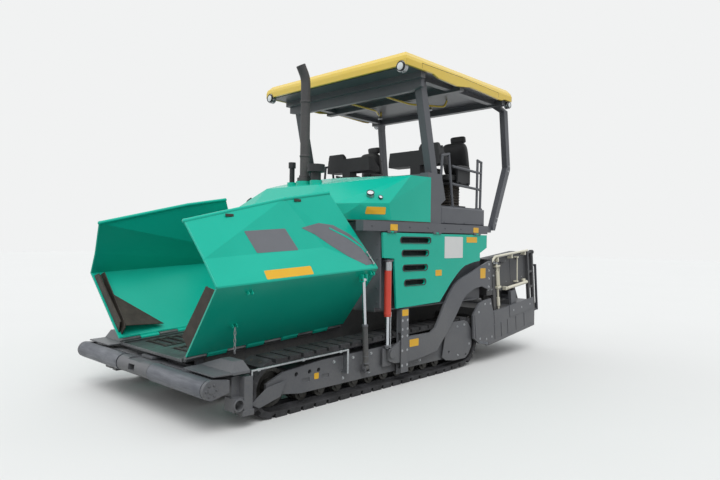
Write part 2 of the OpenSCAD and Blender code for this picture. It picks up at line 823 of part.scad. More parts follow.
module roof_frame() {
  under = roof_z - 50.3;
  color(grey) {
    // cross beams and long beams under the roof
    for (x = [20, -800, -1860]) {
      box([x, -beam_y, under - 130], [x + 90, beam_y, under - 10]);
      box([x, 90 - beam_y, under - 11], [x + 90, beam_y - 90, roof_z + 34.7]);
    }
    // lining under the roof, and the deep beam at the front
    box([roof_r + 36, -half_w + 36, roof_z - 104], [roof_f - 75, half_w - 36, roof_z - 94]);
    translate([0, 0, roof_z])
      rotate([90, 0, 90])
        linear_extrude(60)
          polygon([[-fascia_y, -95], [-fascia_y, -270], [200 - fascia_y, -305],
            [fascia_y - 200, -305], [fascia_y, -270], [fascia_y, -95]]);
    both_sides() {
      box([-1830, 1020, under - 110], [100, 1110, under - 20]);
      // front post, curved in at its top
      hull() {
        box([-360, 1050, 2470.3], [-240, 1150, 2480]);
        box([-100, 1050, 3540], [10, 1150, 3560]);
      }
      hull() {
        box([-100, 1050, 3540], [10, 1150, 3560]);
        box([-90, 1010, under - 70], [20, 1110, under - 40]);
      }
      // rear post: foot, knuckle, top
      hull() {
        box([-1680, 1120, 1800], [-1621, 1200, 1860]);
        box([-2080, 1120, 2690], [-1990, 1200, 2720]);
      }
      hull() {
        box([-2080, 1120, 2690], [-1990, 1200, 2720]);
        box([-1985, 1120, 3500], [-1890, 1200, 3520]);
      }
      hull() {
        box([-1985, 1120, 3500], [-1890, 1200, 3520]);
        box([-1870, 1020, under - 110], [-1780, 1100, under - 60]);
      }
    }
  }
}

module roof_lamps() {
  color(steel)
    both_sides() {
      translate([roof_f - 60, lamp_y, lamp_z]) rotate([0, 90, 0]) cylinder(h = 55, r = 65 - gap, $fn = 64);
      translate([roof_f - 6, lamp_y, lamp_z]) rotate([0, 90, 0]) cylinder(h = 12, r = 48, $fn = 64);
      y_round(roof_r + 52, roof_z - 110.3 - 50, 50, half_w - 66, half_w - 14);
      y_round(roof_r + 52, roof_z - 110.3 - 50, 38, half_w - 15, half_w - 4);
    }
}

// side gear
tow_x = 605;
tow_z = 380;
lev_x = 660;
lev_y = 1232;
module levelling_cylinders() {
  color(red)
    both_sides()
      difference() {
        translate([lev_x, lev_y, 820]) cylinder(h = 590, r = 40, $fn = 48);
        translate([lev_x, lev_y, 819]) cylinder(h = 500, r = 22, $fn = 48);
      }
}

module levelling_rods() {
  color(steel)
    both_sides()
      translate([lev_x, lev_y, 450.3]) cylinder(h = 860, r = 21.7, $fn = 48);
}

module tow_columns() {
  color(grey)
    both_sides() {
      // base pin and lugs of the wing cylinder
      at_base() {
        translate([-44, 0, 0]) rotate([0, 90, 0]) cylinder(h = 88, r = eye_pin, $fn = 48);
        for (x = [-36, 24])
          box([x, -34, -46], [x + 12, 27, 20]);
        box([-36, track_out - 22 + gap - cyl_y, -46], [36, 27, -38]);
      }
      box([lev_x - 85, 1206, 250], [lev_x + 60, 1221, 450]);
      y_round(tow_x, tow_z, 30, 1220, 1266);
      // guide column: the arm passes between its inner and outer plates
      box([320, 1206, 130], [470, 1218, 869.7]);
      box([330, 1262, 150], [460, 1272, 869.7]);
      box([330, 1217, 600], [460, 1263, 869.7]);
      box([330, 1217, 150], [460, 1263, 195]);
      box([469, 1206, 400], [580, 1216, 450]);
      box([lev_x - 50, 1140.3, 1410.3], [lev_x + 50, 1268, 1432]);
    }
}

module indicator_rod() {
  color(steel) {
    bar([2508, 1258, 490], [1306, 1258, 520], 10);
    // clamps on the rod, its front stand and its rear bracket: x, height of the rod
    for (c = [[2420, 492], [1900, 505], [1400, 518]])
      box([c[0], 1246, c[1] - 13], [c[0] + 30, 1270, c[1] + 13]);
    box([2502, 1246, 450 + gap], [2516, 1268, 500]);
    box([1300, 1207, 280], [1325, 1268, 530]);
    box([1300, track_out - 22 + gap, 280], [1325, 1208, 300]);
  }
}

// outline of the side door: x, z
door_pts = [[774, 1730], [758, 1452], [574, 1441], [527, 880], [310, 885], [-302, 900],
  [-411, 1002], [-535, 1119], [-661, 1219], [-750, 1280], [-849, 1330], [-1045, 1369],
  [-1210, 1388], [-1210, 1490], [-1380, 1560], [-1380, 1730]];
// slots in the door: x0, x1, z
door_slots = [[-60, 430, 1650], [-20, 400, 1500], [0, 380, 1330], [30, 350, 1160]];
// hinges of the door: x of each, and the axis in y and z
door_hinges = [-1150, -250, 600];
door_hy = 1258;
door_hz = 1738;
// outer face of the doors
door_y = door_hy - 8;
module door_knuckle(x, a, b) {
  translate([x + a, door_hy, door_hz]) rotate([0, 90, 0]) cylinder(h = b - a, r = 9, $fn = 32);
  box([x + a, door_y - 10, 1722], [x + b, door_hy, 1734]);
}
module side_door(s) {
  color(green)
    on_side(s)
      difference() {
        union() {
          side_plate(door_pts, door_y - door_t, door_y);
          for (x = door_hinges)
            door_knuckle(x, 5, 55);
        }
        for (d = door_slots) {
          y_round(d[0], d[2], 28, door_y - 50, door_y + 10);
          y_round(d[1], d[2], 28, door_y - 50, door_y + 10);
          box([d[0], door_y - 50, d[2] - 28], [d[1], door_y + 10, d[2] + 28]);
        }
        for (x = door_hinges)
          translate([x, door_hy, door_hz]) rotate([0, 90, 0]) cylinder(h = 60, r = 4 + run, $fn = 32);
      }
}
module side_door_left() { side_door(1); }
module side_door_right() { side_door(-1); }

// augers
auger_x = -1440;
auger_z = 430;
auger_in = 61;
stub_r = 25;
auger_out = 1190;
module auger(s) {
  l = auger_out - auger_in;
  color(steel)
    on_side(s) {
      translate([auger_x, auger_in, auger_z]) rotate([-90, 0, 0]) cylinder(h = l, r = 45, $fn = 24);
      y_round(auger_x, auger_z, stub_r, 15, auger_in + 1);
      translate([auger_x, auger_in + 20, auger_z])
        rotate([-90, 0, 0])
          linear_extrude(l - 40, twist = -360 * auger_turns, slices = 42)
            translate([0, -14])
              square([auger_r, 28]);
    }
}
module auger_left() { auger(1); }
module auger_right() { auger(-1); }

module auger_holder() {
  color(grey)
    difference() {
      union() {
        side_plate([[body_rear - gap, 1000], [-1500, 1000], [-1505, 400], [-1470, 345],
          [-1410, 345], [body_rear - gap, 400]], -55, 55);
        box([-1500, -300, 960], [body_rear - gap, 300, 1040]);
      }
      y_round(auger_x, auger_z, stub_r + run, -56, 56);
    }
}

// screed
// the lowered screed is drawn level, and this lifts it about the tow point
module lifted() {
  translate([tow_x, 0, tow_z])
    rotate([0, lift_deg, 0])
      translate([-tow_x, 0, -tow_z])
        children();
}

// outline of the arm, lifted: x, z
arm_pts = [[655, 310], [560, 275], [297, 253], [-10, 278], [-246, 308], [-321, 375], [-390, 440],
  [-460, 500], [-566, 610], [-692, 745], [-800, 880], [-898, 954], [-1076, 1020], [-1260, 1045],
  [-1400, 1000], [-1480, 985], [-1480, 1385], [-1306, 1337], [-1171, 1296], [-1010, 1241],
  [-815, 1183], [-700, 1140], [-600, 1080], [-502, 985], [-381, 832], [-290, 690], [-215, 590],
  [-121, 544], [276, 545], [420, 520], [600, 440], [655, 440]];
arm_y = 1256;
module screed_arms() {
  color(grey)
    both_sides()
      difference() {
        side_plate(arm_pts, arm_y - arm_t, arm_y);
        y_round(tow_x, tow_z, 30 + gap, 1200, 1280);
      }
}

module screed_base() {
  color(grey) {
    lifted() {
      // base screed: box with a flat sole and a sloped front
      side_plate([[-1700, 0], [-1660, 60], [-1660, 330], [-1720, 420], [-2040, 420], [-2040, 0]],
        -1235, 1235);
      // carriers over the extensions, with the housings of the guide tubes
      difference() {
        union() {
          for (y = [-920, -20, 880])
            side_plate([[-1900, 419], [-1900, 660], [-2780, 660], [-2950, 260], [-2950, 214.7],
              [-2760, 214.7], [-2680, 440], [-2040, 440], [-2040, 419]], y, y + 40);
          for (x = tube_x)
            y_round(x, tube_z, 82, -1050, 1050);
        }
        for (x = tube_x)
          y_round(x, tube_z, tube_r + run, -1051, 1051);
      }
      both_sides() {
        // side cabinet over the carriers
        box([-2740, 900, 650], [cabinet_x, 1150, 1120]);
        box([-1830, 1149, 420], [-1780, 1175, 1060]);
        box([-2760, 1000, 640], [-2700, 1180, 700]);
        // posts and rungs at the rear corner
        for (x = [-2790, -2930])
          box([x, 1150, 214.7], [x + 40, 1195, 1130]);
        for (z = [330, 560, 790, 1090])
          box([-2930, 1155, z], [-2755, 1190, z + 30]);
        box([-2895, 1140, 580], [-2785, 1151, 1100]);
        box([-2790, 1120, 680], [-2739, 1151, 1110]);
      }
    }
  }
}

// towers that join the arms to the screed: flange, plates, foot post, lug of the lift cylinder
cabinet_x = -1790;
module screed_towers() {
  color(grey)
    both_sides()
      difference() {
        union() {
          side_plate([[-1480.3, 985], [-1480.3, 1400], [-1520, 1412], [-1520, 985]], 1150.3, arm_y);
          side_plate([[-1490, 900], [-1490, 1400], [-1560, 1425], [-1650, 1425], [-1690, 900]],
            1150.3, 1192);
          side_plate([[-1649, 940], [-1649, 1380], [-1800, 1340], [-1800, 980]], 1100, 1151);
          side_plate([[-1500, 900], [-1500, 1010], [-1600, 1010], [-1640, 900]], lift_y + 30, 1151);
          lifted()
            box([-1760, 1150.3, 420.3], [-1700, 1200, 1000]);
        }
        lifted()
          box([-2741, 900, 400], [cabinet_x + gap, 1150.3, 1121]);
        lifted()
          box([-1900, 1100, 400], [-1780 + gap, 1175 + gap, 1061]);
      }
}
// guide tubes of the two extensions, on the lowered screed: x of each
tube_x = [-2200, -2480];
tube_z = 550;
tube_r = 60;

module screed_extension(s) {
  x = s > 0 ? tube_x[0] : tube_x[1];
  color(grey)
    on_side(s)
      lifted() {
        side_plate([[-2070, 0], [-2070, 330], [-2100, 420], [-2620, 420], [-2660, 330], [-2660, 0]],
          12, 1235);
        // end plate
        side_plate([[-1389, 0], [-1300, 40], [-1176, 75], [-1042, 180], [-1059, 482], [-1224, 614],
          [-1330, 630], [-1520, 630], [-1560, 440], [-2700, 420], [-2770, 263], [-2740, 0]], 1240, 1268);
        box([-2600, 1234, 40], [-2100, 1241, 400]);
        // box on the end plate, runner at its foot and stiffeners
        box([-2733, 1267, 267], [-2008, 1274, 437]);
        box([-2720, 1267, 8], [-1400, 1274, 45]);
        box([-1120, 1267, 170], [-1090, 1274, 480]);
        for (x = [-1600, -1780, -1960, -2200, -2450])
          box([x, 1267, 44], [x + 24, 1274, 250]);
        box([-1620, 1267, 262], [-1580, 1274, 430]);
        // post that holds the guide tube
        box([x - 70, 1190, 419], [x + 70, 1235, tube_z + 70]);
      }
}
module screed_extension_left() { screed_extension(1); }
module screed_extension_right() { screed_extension(-1); }

module screed_tube(s) {
  x = s > 0 ? tube_x[0] : tube_x[1];
  color(steel)
    on_side(s)
      lifted()
        y_round(x, tube_z, tube_r, -1000, 1189.7);
}
module screed_tube_left() { screed_tube(1); }
module screed_tube_right() { screed_tube(-1); }

// rear edge of the lowered walkway, from how far back it reaches when lifted
walk_z = 185;
walk_r = tow_x + (rear_x - tow_x - (walk_z - tow_z) * sin(lift_deg)) / cos(lift_deg);
module screed_walkway() {
  color(grey)
    lifted() {
      box([walk_r, -1200, walk_z], [-2700, 1200, walk_z + 29.4]);
      box([walk_r, -1200, walk_z], [walk_r + 25, 1200, walk_z + 105]);
      both_sides() {
        box([walk_r, 1180, walk_z], [walk_r + 25, 1210, 900]);
        box([walk_r, 1156, 875], [-2930.3, 1190, 900]);
        // tread plates on the side cabinets
        box([-2745, 895, 1120.3], [-1785, 1156, 1128]);
      }
    }
}

// guard rails, spindles and the adjusting cylinder of the screed
rail_y = 1214;
module screed_rails() {
  color(cream)
    both_sides()
      lifted() {
        bar([-1640, rail_y, 1095], [-1770, rail_y, 1171], 17);
        bar([-1770, rail_y, 1171], [-2714, rail_y, 1150], 17);
        translate([-1770, rail_y, 1171]) sphere(r = 19, $fn = 32);
        for (x = [-1850, -2250, -2650]) {
          box([x, 1150.3, 1090], [x + 30, 1190, 1115]);
          box([x, 1180, 1090], [x + 30, 1225, 1160]);
        }
        // upright spindles on the screed box
        translate([-1805, 1212, 420.3]) cylinder(h = 644, r = 14, $fn = 32);
        translate([-1805, 1212, 470]) cylinder(h = 120, r = 24, $fn = 32);
        translate([-1805, 1212, 760]) cylinder(h = 200, r = 22, $fn = 32);
        translate([-1850, 1216, 700]) cylinder(h = 340, r = 9, $fn = 32);
        box([-1870, 1175.3, 720], [-1765, 1236, 745]);
        box([-1870, 1175.3, 1020], [-1765, 1232, 1040]);
        // adjusting cylinder along the cabinet
        bar([-2110, 1192, 668], [-2700, 1192, 668], 24);
        bar([-2060, 1192, 668], [-2120, 1192, 668], 14);
        box([-2080, 1150.3, 650], [-2045, 1210, 700]);
        box([-2690, 1150.3, 690], [-2620, 1180, 720]);
        // thin upright rod
        bar([-2389, 1200, 720], [-2426, 1200, 1090], 9);
        box([-2410, 1150.3, 715], [-2370, 1212, 735]);
        box([-2450, 1150.3, 1070], [-2400, 1212, 1090]);
      }
}

lift_y = 1040;
lift_top = [-1446, 1660];
lift_eye = [-1556, 960];
lift_len = norm([lift_top[0] - lift_eye[0], lift_top[1] - lift_eye[1]]);
module along_lift() {
  a = atan2(lift_top[0] - lift_eye[0], lift_top[1] - lift_eye[1]);
  translate([lift_top[0], lift_y, lift_top[1]])
    rotate([0, 180 + a, 0])
      children();
}
module lift_barrels() {
  color(grey)
    both_sides()
      difference() {
        union() {
          along_lift() translate([0, 0, 15]) cylinder(h = 415, r = 36, $fn = 48);
          y_round(lift_top[0], lift_top[1], 32, lift_y - 25, lift_y + 25);
        }
        along_lift() translate([0, 0, 45]) cylinder(h = 400, r = 22, $fn = 48);
        y_round(lift_top[0], lift_top[1], 18 + gap, lift_y - 37, lift_y + 37);
      }
}
module lift_rods() {
  color(steel)
    both_sides()
      difference() {
        union() {
          along_lift() translate([0, 0, 400]) cylinder(h = lift_len - 400, r = 22 - run, $fn = 48);
          y_round(lift_eye[0], lift_eye[1], 30, lift_y - 25, lift_y + 25);
        }
        y_round(lift_eye[0], lift_eye[1], 18 + gap, lift_y - 26, lift_y + 26);
      }
}

frame();
front_frame();
track_frames();
track_left();
track_right();
track_wheels();
engine_block();
hopper_floor();
conveyor_bars();
body_shell();
hood();
hood_louvres();
headlamps();
exhaust();
air_precleaner();
platform();
toolboxes();
handrails();
seat_frames();
seat_pads();
consoles();
roof_shell();
roof_frame();
roof_lamps();
levelling_cylinders();
levelling_rods();
tow_columns();
indicator_rod();
side_door_left();
side_door_right();
hopper_wing_left();
hopper_wing_right();
wing_flap_left();
wing_flap_right();
wing_barrel_left();
wing_barrel_right();
wing_rod_left();
wing_rod_right();
push_beam();
push_roller_left();
push_roller_right();
auger_left();
auger_right();
auger_holder();
screed_arms();
screed_base();
screed_towers();
screed_walkway();
screed_tube_left();
screed_tube_right();
screed_extension_left();
screed_extension_right();
screed_rails();
lift_barrels();
lift_rods();
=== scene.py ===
# %% [markdown]
# A road paver on two tracks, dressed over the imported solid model.
# The solids already have the true size, so this script only adds finish and fine parts.
# All lengths are metres, +X is the way the machine drives, +Y is its left side.

# %% Load the frame
import math

import bmesh
import bpy
from mathutils import Matrix, Vector
from mathutils.bvhtree import BVHTree


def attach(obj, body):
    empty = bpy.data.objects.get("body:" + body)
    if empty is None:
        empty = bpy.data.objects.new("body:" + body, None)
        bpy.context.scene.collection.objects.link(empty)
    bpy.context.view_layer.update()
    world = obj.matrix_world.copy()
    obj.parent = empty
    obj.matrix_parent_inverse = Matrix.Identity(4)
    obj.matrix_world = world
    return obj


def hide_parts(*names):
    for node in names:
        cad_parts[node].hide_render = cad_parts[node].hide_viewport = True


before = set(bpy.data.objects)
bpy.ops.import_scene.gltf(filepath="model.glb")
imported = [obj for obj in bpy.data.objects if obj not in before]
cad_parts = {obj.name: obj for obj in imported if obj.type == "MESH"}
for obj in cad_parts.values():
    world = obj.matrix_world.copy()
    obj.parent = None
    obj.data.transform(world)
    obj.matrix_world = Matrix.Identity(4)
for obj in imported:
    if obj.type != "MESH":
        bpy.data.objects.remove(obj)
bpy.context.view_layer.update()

# %% [markdown]
# The photograph is wide and taken from the front left at eye height.
# Camera place, turn and lens come from one fit: to points of the machine at its known width,
# to the lines of the building behind it and to an assumed eye height of 1.65 m.
# A camera in Blender looks along its own -Z, so the last column is the backward direction.

# %% Camera
CAMERA_AT = Vector((5.596, 5.4275, 1.650))
LOOK_YAW = math.radians(223.1453)
LOOK_PITCH = math.radians(-0.0488)
LOOK_ROLL = math.radians(0.7535)
LENS_MM = 29.247
SENSOR_MM = 36


def link(thing):
    """Puts an object into the scene."""
    bpy.context.scene.collection.objects.link(thing)
    return thing


ahead = Vector((math.cos(LOOK_PITCH) * math.cos(LOOK_YAW),
                math.cos(LOOK_PITCH) * math.sin(LOOK_YAW), math.sin(LOOK_PITCH)))
right = ahead.cross(Vector((0, 0, 1))).normalized()
upward = right.cross(ahead)
right_rolled = right * math.cos(LOOK_ROLL) + upward * math.sin(LOOK_ROLL)
up_rolled = upward * math.cos(LOOK_ROLL) - right * math.sin(LOOK_ROLL)
turn = Matrix((right_rolled, up_rolled, -ahead)).transposed().to_4x4()

camera = link(bpy.data.objects.new("camera", bpy.data.cameras.new("camera")))
camera.matrix_world = Matrix.Translation(CAMERA_AT) @ turn
camera.data.sensor_width = SENSOR_MM
camera.data.lens = LENS_MM
camera.data.clip_end = 200
bpy.context.scene.camera = camera
print("camera", [round(c, 3) for c in camera.location], "lens", LENS_MM)

# %% [markdown]
# Blender mixes light in linear values, while paint charts and screens use sRGB.
# One function turns a hex code into the linear colour that a shader wants.
# The others add one shader node each, so that a finish reads as a short list of steps.

# %% Colour and node helpers
def linear(code):
    """sRGB hex such as '02B89E' to linear RGBA."""
    parts = [int(code[i:i + 2], 16) / 255 for i in (0, 2, 4)]
    return [p / 12.92 if p <= 0.04045 else ((p + 0.055) / 1.055) ** 2.4 for p in parts] + [1.0]


def add_node(tree, kind, values=None, wires=None, **settings):
    """Adds one node: settings are its own options, values its inputs, wires what feeds them."""
    node = tree.nodes.new(kind)
    for key, value in settings.items():
        setattr(node, key, value)
    for key, value in (values or {}).items():
        node.inputs[key].default_value = value
    for key, source in (wires or {}).items():
        tree.links.new(source, node.inputs[key])
    return node


def new_finish(name):
    """An empty material: returns it, its node tree and its main shader."""
    finish = bpy.data.materials.new(name)
    finish.use_nodes = True
    tree = finish.node_tree
    tree.nodes.clear()
    shader = tree.nodes.new("ShaderNodeBsdfPrincipled")
    end = tree.nodes.new("ShaderNodeOutputMaterial")
    tree.links.new(shader.outputs[0], end.inputs[0])
    return finish, tree, shader


def blend_colours(tree, share, low, high):
    """Mixes two colours, each a hex code or a wire, by a share that is a wire."""
    mix = add_node(tree, "ShaderNodeMix", wires={0: share}, data_type="RGBA")
    for socket, colour in ((6, low), (7, high)):
        if isinstance(colour, str):
            mix.inputs[socket].default_value = linear(colour)
        else:
            tree.links.new(colour, mix.inputs[socket])
    return mix.outputs[2]


def own_place(tree):
    """The piece's own coordinates in metres, so that a pattern keeps its real size."""
    return add_node(tree, "ShaderNodeTexCoord").outputs["Object"]


def noise(tree, where, scale, detail, roughness=0.5):
    """Cloudy pattern; scale is patches per metre."""
    return add_node(tree, "ShaderNodeTexNoise", {"Scale": scale, "Detail": detail, "Roughness": roughness},
                    {"Vector": where}).outputs["Fac"]


def remap(tree, signal, **limits):
    """Stretches a signal: from_min, from_max, to_min and to_max."""
    values = {key.replace("_", " ").title(): value for key, value in limits.items()}
    return add_node(tree, "ShaderNodeMapRange", values, {"Value": signal}).outputs[0]


def times(tree, signal, factor, **settings):
    """Product of a signal and a factor, which is a number or a second signal."""
    number = isinstance(factor, (int, float))
    values, wires = ({1: factor}, {0: signal}) if number else (None, {0: signal, 1: factor})
    return add_node(tree, "ShaderNodeMath", values, wires, operation="MULTIPLY", **settings).outputs[0]


def emboss(tree, shader, height, strength, depth, normal=None):
    """Lets a height signal tilt the surface; depth is in metres."""
    wires = {"Height": height}
    if normal is not None:
        wires["Normal"] = normal
    bump = add_node(tree, "ShaderNodeBump", {"Strength": strength, "Distance": depth}, wires)
    tree.links.new(bump.outputs[0], shader.inputs["Normal"])


def tune(shader, values):
    """Sets several inputs of a shader."""
    for key, value in values.items():
        shader.inputs[key].default_value = value


TURQUOISE = "02B89E"
print("helpers ready, turquoise is", [round(c, 3) for c in linear(TURQUOISE)])

# %% [markdown]
# The panels are steel sheet, 4 to 10 mm thick, cut, folded and sprayed with two-pack gloss paint.
# Sprayed paint shows a faint orange peel, a soft edge where the sheet is folded, thin dust that
# settles low down and lies in broad patches, and paler corners where hands and boots rub it.
# The solids have sharp edges, so the Bevel node rounds the normals by a real edge radius.
# The same node, set against the plain normal, also says where an edge is, for the wear.

# %% Painted sheet steel
ORANGE_PEEL = 1 / 0.012   # ripples every 12 mm; real peel is finer, drawn coarse enough to show
DUST_PATCH = 1 / 0.7      # dust lies in patches of about 0.7 m
DUST_GRAIN = 1 / 0.02     # and in specks of about 20 mm
PAINT_IOR = 1.5


def edge_signal(tree, radius):
    """Returns the rounded normal and a 0..1 signal that is high along edges."""
    rounded = add_node(tree, "ShaderNodeBevel", {"Radius": radius}, samples=4)
    plain = add_node(tree, "ShaderNodeNewGeometry")
    facing = add_node(tree, "ShaderNodeVectorMath", operation="DOT_PRODUCT",
                      wires={0: rounded.outputs[0], 1: plain.outputs["Normal"]})
    return rounded.outputs[0], remap(tree, facing.outputs["Value"], from_min=0.985, from_max=0.90)


def sprayed_steel(name, base, worn, dust="8F8A7E", gloss=0.28, coat=0.35, dust_share=0.16, edge=0.006,
                  high=1.3, wear=0.55, shine=0.35):
    """Gloss paint on sheet steel, dusty from the ground up to a height, with rubbed edges."""
    finish, tree, shader = new_finish(name)
    where = own_place(tree)
    normal, rim = edge_signal(tree, edge)
    patches = noise(tree, where, DUST_PATCH, 5.0, 0.6)
    grains = noise(tree, where, DUST_GRAIN, 3.0)
    height = add_node(tree, "ShaderNodeSeparateXYZ", wires={0: where})
    lowness = remap(tree, height.outputs["Z"], from_min=high, from_max=0.0, to_min=0.25, to_max=1.0)
    specks = times(tree, times(tree, lowness, patches), grains)
    dusty = times(tree, specks, dust_share * 4, use_clamp=True)
    shade = blend_colours(tree, patches, base, worn)
    fresh = blend_colours(tree, dusty, shade, dust)
    rubbed = times(tree, times(tree, rim, wear), grains)
    tree.links.new(blend_colours(tree, rubbed, fresh, worn), shader.inputs["Base Color"])
    rough = remap(tree, dusty, to_min=gloss, to_max=min(gloss + 0.3, 0.9))
    tree.links.new(rough, shader.inputs["Roughness"])
    emboss(tree, shader, noise(tree, where, ORANGE_PEEL, 2.0), 0.05, 0.002, normal)
    tune(shader, {"IOR": PAINT_IOR, "Specular IOR Level": shine, "Coat Weight": coat, "Coat Roughness": 0.12})
    return finish


turquoise = sprayed_steel("turquoise gloss paint", TURQUOISE, "18C9AF", gloss=0.26, coat=0.10,
                          dust_share=0.03, shine=0.25)
anthracite = sprayed_steel("anthracite satin paint", "4E5158", "686B72", gloss=0.42, coat=0.1, dust_share=0.2)
dark_grey = sprayed_steel("dark grey chassis paint", "3B3D42", "55575C", gloss=0.5, coat=0.05, dust_share=0.3)
signal_red = sprayed_steel("signal red paint", "DC3A2A", "E66050", gloss=0.3, coat=0.1, dust_share=0.08)
roof_yellow = sprayed_steel("yellow gel coat", "F5CE40", "F7DA66", gloss=0.25, coat=0.2, dust_share=0.05,
                            edge=0.012, high=4.5)
soot_black = sprayed_steel("heat-proof black paint", "3A3B3E", "57565A", gloss=0.6, coat=0.0,
                           dust_share=0.25, high=4.0)
print("paints:", [m.name for m in (turquoise, anthracite, dark_grey, signal_red, roof_yellow, soot_black)])

# %% [markdown]
# Bare metal parts: hard chrome on the cylinder rods, ground and rolled steel on the rollers,
# worn wear-plate in the hopper, cast manganese steel on wheels, augers and scraper bars.
# Chrome is a near mirror. Wear-plate is scoured along the flow of asphalt, so its
# noise is stretched along X. Cast parts are dull, with a pitted skin.

# %% Bare metals
def bare_metal(name, light, dark_tone, rough, grain, stretch=(1, 1, 1), bump_mm=0.3, metallic=1.0):
    """Metal with a stretched scour pattern; grain is the spacing of the scratches in metres."""
    finish, tree, shader = new_finish(name)
    where = own_place(tree)
    drawn = add_node(tree, "ShaderNodeMapping", {"Scale": stretch}, {"Vector": where})
    normal, rim = edge_signal(tree, 0.004)
    scours = noise(tree, drawn.outputs[0], 1 / grain, 6.0, 0.65)
    share = remap(tree, times(tree, scours, noise(tree, where, 3.0, 4.0)), from_min=0.12, from_max=0.42)
    body = blend_colours(tree, share, dark_tone, light)
    tree.links.new(blend_colours(tree, rim, body, light), shader.inputs["Base Color"])
    gloss = remap(tree, share, to_min=rough + 0.12, to_max=max(rough - 0.08, 0.05))
    tree.links.new(gloss, shader.inputs["Roughness"])
    emboss(tree, shader, scours, 0.4, bump_mm / 1000, normal)
    tune(shader, {"Metallic": metallic})
    return finish


hard_chrome = bare_metal("hard chrome", "D5D8DC", "B9BDC2", 0.14, 0.02, (1, 1, 0.1), 0.05)
zinc = bare_metal("zinc-plated steel", "B9BCBE", "8C8F92", 0.38, 0.012, (1, 1, 1), 0.1)
wear_plate = bare_metal("wear-plate steel", "8B8D8E", "55575A", 0.45, 0.02, (0.12, 1, 1), 0.6, 0.75)
roller_steel = bare_metal("rolled grey steel", "7C7F85", "595C63", 0.42, 0.03, (1, 0.1, 1), 0.3, 0.45)
cast_steel = bare_metal("cast manganese steel", "5C5B59", "34332F", 0.62, 0.008, (1, 1, 1), 0.8, 0.55)
auger_steel = bare_metal("auger cast steel", "7A7874", "4A4844", 0.5, 0.01, (1, 1, 1), 0.8, 0.7)
print("metals:", [m.name for m in (hard_chrome, zinc, wear_plate, roller_steel, cast_steel, auger_steel)])

# %% [markdown]
# Rubber and plastics. Track pads and the front flaps are natural rubber, matt and grey with
# dust in the pores. The desks are black ABS with a moulded leather grain, which is a
# Voronoi cell pattern of about 3 mm. The seats wear black vinyl with a grain of 4 mm.

# %% Rubber, plastic and vinyl
def moulded(name, base, pale, rough, cell, depth_mm, dust_share=0.2, sheen=0.0):
    """Rubber or plastic with a cell grain; cell is the grain spacing in metres."""
    finish, tree, shader = new_finish(name)
    where = own_place(tree)
    normal, rim = edge_signal(tree, 0.004)
    grain = add_node(tree, "ShaderNodeTexVoronoi", {"Scale": 1 / cell}, {"Vector": where},
                     feature="DISTANCE_TO_EDGE")
    share = remap(tree, noise(tree, where, 6.0, 6.0, 0.7), from_min=0.4, from_max=0.75, to_max=dust_share * 2)
    dusty = blend_colours(tree, share, base, pale)
    tree.links.new(blend_colours(tree, times(tree, rim, 0.5), dusty, pale), shader.inputs["Base Color"])
    emboss(tree, shader, grain.outputs["Distance"], 0.5, depth_mm / 1000, normal)
    tune(shader, {"Roughness": rough, "IOR": 1.5, "Sheen Weight": sheen})
    return finish


pad_rubber = moulded("track pad rubber", "2A2A2B", "56565A", 0.85, 0.02, 1.0, 0.35)
flap_rubber = moulded("conveyor belt rubber", "39342F", "5C544B", 0.75, 0.015, 0.5, 0.35)
black_abs = moulded("grained black ABS", "222326", "3A3B3E", 0.55, 0.003, 0.2, 0.15)
vinyl = moulded("black seat vinyl", "1B1C1E", "333437", 0.5, 0.004, 0.25, 0.1, sheen=0.1)
print("polymers:", [m.name for m in (pad_rubber, flap_rubber, black_abs, vinyl)])

# %% [markdown]
# Small finishes: lamp glass, vinyl labels and the tread plate of the decks.
# Tread plate has raised drops in a crossed pattern, 30 mm apart, here from two turned cell patterns.
# Labels are printed vinyl: on this machine they are left blank, as a plain field.

# %% Glass, labels and tread plate
def clear_glass(name, tint):
    """Moulded glass with upright flutes 30 mm apart."""
    finish, tree, shader = new_finish(name)
    flutes = add_node(tree, "ShaderNodeTexWave", {"Scale": 1 / 0.03, "Distortion": 0.0},
                      {"Vector": own_place(tree)}, bands_direction="Y")
    emboss(tree, shader, flutes.outputs["Fac"], 0.4, 0.001)
    tune(shader, {"Base Color": linear(tint), "Roughness": 0.08, "IOR": 1.5, "Coat Weight": 0.6})
    return finish


def printed_vinyl(name, base, mark):
    """Label stock: a plain colour with a faint broad shade, satin."""
    finish, tree, shader = new_finish(name)
    colour = blend_colours(tree, noise(tree, own_place(tree), 9.0, 3.0), base, mark)
    tree.links.new(colour, shader.inputs["Base Color"])
    tune(shader, {"Roughness": 0.4, "Coat Weight": 0.15})
    return finish


def tread_plate(name, base, worn):
    """Steel deck with raised crossed drops, worn bright on their tops."""
    finish, tree, shader = new_finish(name)
    where = own_place(tree)
    normal, _ = edge_signal(tree, 0.004)
    drops = []
    for angle in (45, -45):
        crossed = add_node(tree, "ShaderNodeMapping", {"Rotation": (0, 0, math.radians(angle)),
                                                       "Scale": (1.0, 0.35, 1.0)}, {"Vector": where})
        cells = add_node(tree, "ShaderNodeTexVoronoi", {"Scale": 1 / 0.030, "Randomness": 0.0},
                         {"Vector": crossed.outputs[0]})
        drops.append(remap(tree, cells.outputs["Distance"], from_min=0.34, from_max=0.22))
    tops = add_node(tree, "ShaderNodeMath", wires=dict(enumerate(drops)), operation="MAXIMUM").outputs[0]
    share = times(tree, tops, noise(tree, where, 2.5, 6.0))
    tree.links.new(blend_colours(tree, share, base, worn), shader.inputs["Base Color"])
    emboss(tree, shader, tops, 0.6, 0.002, normal)
    tune(shader, {"Roughness": 0.5, "Metallic": 0.2})
    return finish


